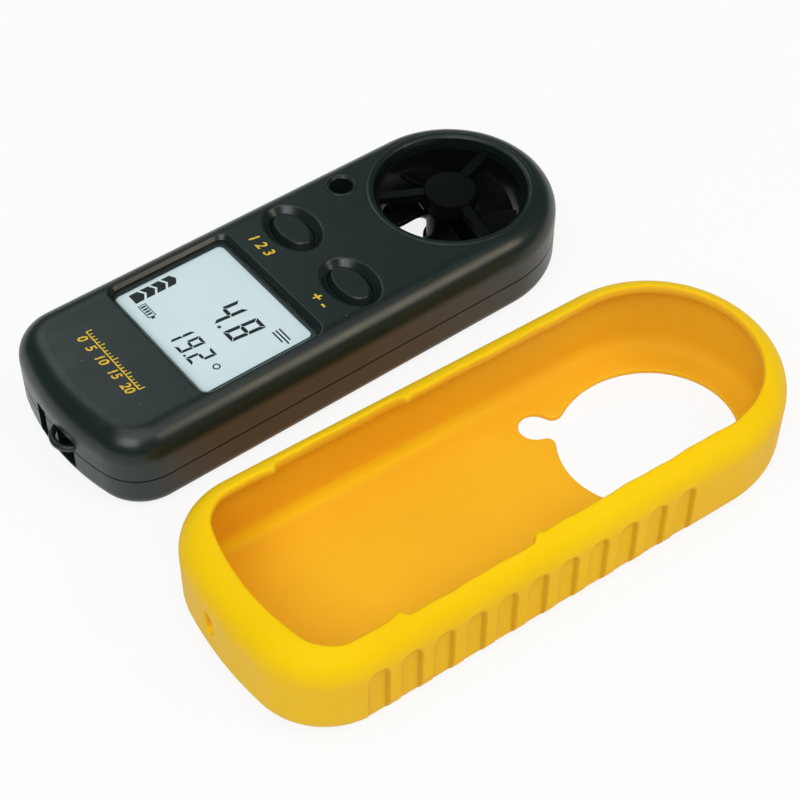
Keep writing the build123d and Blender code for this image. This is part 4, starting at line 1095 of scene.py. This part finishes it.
def build_lips():
    """Low raised lips round the duct's mouth and the air sensor's hole: a half-wave profile
    carried round each opening, with a flat underside just below the face."""
    around = circle(np.linspace(0, 2 * np.pi, 180, endpoint=False))
    share = np.linspace(0, 1, 13)
    profile_z = face_z - LIP_FOOT + LIP_RISE * np.sin(np.pi * share) ** 0.7
    shells, faces = [], []
    for number, (centre, inner, outer) in enumerate(LIPS):
        radii = inner + (outer - inner) * share
        shells += [at_height(centre + radius * around, z) for radius, z in zip(radii, profile_z)]
        index = numbered(share.size, len(around), number * share.size * len(around))
        faces.append(grid_quads(index, wrap_rows=True, wrap_columns=True)[:, ::-1])
    plastic = FINISHES["case_plastic"]
    add_piece("opening_lips", np.vstack(shells), np.vstack(faces), plastic, "case")


build_case_screws()
build_lips()


# ---------------------------------------------------------------- floor and light
FLOOR_HALF, FLOOR_DROP = 6.0, 0.08 * MM
FLOOR_SHOWN, FLOOR_GLOSS = 0.86, 0.9
# the floor's colour in a gloss: plain grey, and a painted warm reflection beside the meter in place of
# the boot's colour
GLOSS_PLAIN, PAINTED_WARM_REFLECTION = (0.80, 0.84, 0.80), (1.06, 0.54, 0.22)
FILL = 0.40
CARD_COLOUR, CARD_DIRECTION = (0.75, 1.0, 0.98), Vector((0.12, 0.70, 0.70))
CARD_RANGE = (0.915, 0.99, 0.12, 0.66)
# name, place, point aimed at, width and height, watts and tint
SOFTBOXES = (
    ("key_softbox", (-0.55, -0.35, 0.75), (0, -0.03, 0.01), (0.55, 0.45), 3.2, (1, 1, 1)),
    ("top_softbox", (-0.08, -0.10, 0.95), (0, -0.03, 0), (0.9, 0.7), 2.6, (1, 1, 1)),
    ("back_softbox", (0.06, 0.62, 0.68), (0, -0.03, 0.01), (0.40, 0.35), 0.4, (1, 1, 1)),
    ("edge_softbox", (0.40, -0.55, 0.66), (0, -0.03, 0.01), (0.34, 0.40), 2.1, (1.0, 0.86, 0.64)),
)


def lit_floor():
    """Pale floor. The camera sees it mostly as plain white with a share of the lit surface, so
    the shadows stay. In a gloss it is a pale grey, with a painted warm reflection beside the meter that
    stands in for the boot's colour."""
    f = Finish("floor_pale")
    drift = f.patches(3, 2, 0.3, 0.7)
    f.set(Base_Color=f.mix(drift, (0.83, 0.83, 0.83), (0.86, 0.86, 0.86)))
    f.set(Roughness=0.9, Specular_IOR_Level=0.1)
    # where the painted warm reflection lies: beside the meter's near side, from a little in from its
    # flat end, and less towards its nose
    beside = f.ramp(f.axis("Y"), meter_low.y + 3 * MM, meter_low.y - 2 * MM)
    past_end = f.ramp(f.axis("X"), meter_low.x + 6 * MM, meter_low.x + 24 * MM)
    short_of_nose = f.ramp(f.axis("X"), meter_high.x - 12 * MM, meter_high.x - 50 * MM, 0.25, 1.0)
    cast = f.mix(f.times(beside, f.times(past_end, short_of_nose)), GLOSS_PLAIN, PAINTED_WARM_REFLECTION)
    path = f.add("ShaderNodeLightPath").outputs
    glow = f.add("ShaderNodeEmission")
    f.put(glow.inputs["Color"], f.mix(path["Is Glossy Ray"], (1.0, 1.0, 1.0), cast))
    seen = f.times(f.larger(path["Is Camera Ray"], path["Is Transmission Ray"]), FLOOR_SHOWN)
    return f.cover(f.larger(seen, f.times(path["Is Glossy Ray"], FLOOR_GLOSS)), glow).material


def build_floor():
    mesh = bpy.data.meshes.new("floor")
    corners = np.array(((-1, -1, 0), (1, -1, 0), (1, 1, 0), (-1, 1, 0))) * FLOOR_HALF
    mesh.from_pydata((corners - (0, 0, FLOOR_DROP)).tolist(), [], [(0, 1, 2, 3)])
    mesh.materials.append(lit_floor())
    floor = bpy.data.objects.new("floor", mesh)
    scene.collection.objects.link(floor)


def add_softbox(name, place, aim, size, power, tint):
    lamp = bpy.data.lights.new(name, "AREA")
    lamp.shape, lamp.size, lamp.size_y = "RECTANGLE", *size
    lamp.energy, lamp.color = power, tint
    light = bpy.data.objects.new(name, lamp)
    scene.collection.objects.link(light)
    light.location = place
    light.rotation_mode = "QUATERNION"
    light.rotation_quaternion = (Vector(aim) - Vector(place)).to_track_quat("-Z", "Y")


def studio_world():
    """Even fill for the surfaces. Seen directly or through the window it is white, and in a gloss
    it is pale behind the object and falls to a dim grey elsewhere, like one large bounce card."""
    world = bpy.data.worlds.new("studio")
    world.use_nodes = True
    w = Wiring(world.node_tree)
    path = w.add("ShaderNodeLightPath").outputs
    direction = w.add("ShaderNodeTexCoord").outputs["Generated"]
    facing = w.vector("DOT_PRODUCT", direction, CARD_DIRECTION.normalized())
    glossy = w.times(path["Is Glossy Ray"], w.ramp(facing, *CARD_RANGE, "SMOOTHSTEP"))
    seen = w.larger(path["Is Camera Ray"], path["Is Transmission Ray"])
    unseen = w.math("SUBTRACT", 1.0, w.larger(seen, path["Is Glossy Ray"]))
    light = w.add("ShaderNodeBackground")
    w.put(light.inputs["Strength"], w.math("ADD", w.larger(seen, glossy), w.times(unseen, FILL)))
    w.put(light.inputs["Color"], w.mix(path["Is Glossy Ray"], (1.0, 1.0, 1.0), CARD_COLOUR))
    w.link(light.outputs[0], w.add("ShaderNodeOutputWorld").inputs["Surface"])
    scene.world = world


# ---------------------------------------------------------------- camera
AZIMUTH, ELEVATION, ROLL = np.radians((-37.99, 47.83, 0.44))
DISTANCE, LENS, SENSOR_W = 0.3484, 87.3, 36.0
AIM_FROM_CENTRE = Vector((0.002745, 0.004695, -0.0091))


def place_camera():
    """Camera on a sphere round a point near the object's centre, rolled slightly about its axis."""
    camera = bpy.data.objects.new("camera", bpy.data.cameras.new("camera"))
    scene.collection.objects.link(camera)
    level = np.cos(ELEVATION)
    back = Vector((np.sin(AZIMUTH) * level, -np.cos(AZIMUTH) * level, np.sin(ELEVATION)))
    right = Vector((np.cos(AZIMUTH), np.sin(AZIMUTH), 0))
    up = back.cross(right)
    cosine, sine = np.cos(ROLL), np.sin(ROLL)
    right, up = right * cosine + up * sine, up * cosine - right * sine
    aim = (cad_low + cad_high) / 2 + AIM_FROM_CENTRE
    turn = Matrix((right, up, back)).transposed().to_4x4()
    camera.matrix_world = Matrix.Translation(aim + back * DISTANCE) @ turn
    camera.data.lens, camera.data.sensor_width = LENS, SENSOR_W
    camera.data.clip_start, camera.data.clip_end = 0.01, 20.0
    scene.camera = camera


build_floor()
studio_world()
for softbox in SOFTBOXES:
    add_softbox(*softbox)
place_camera()
scene.view_settings.view_transform = "Standard"
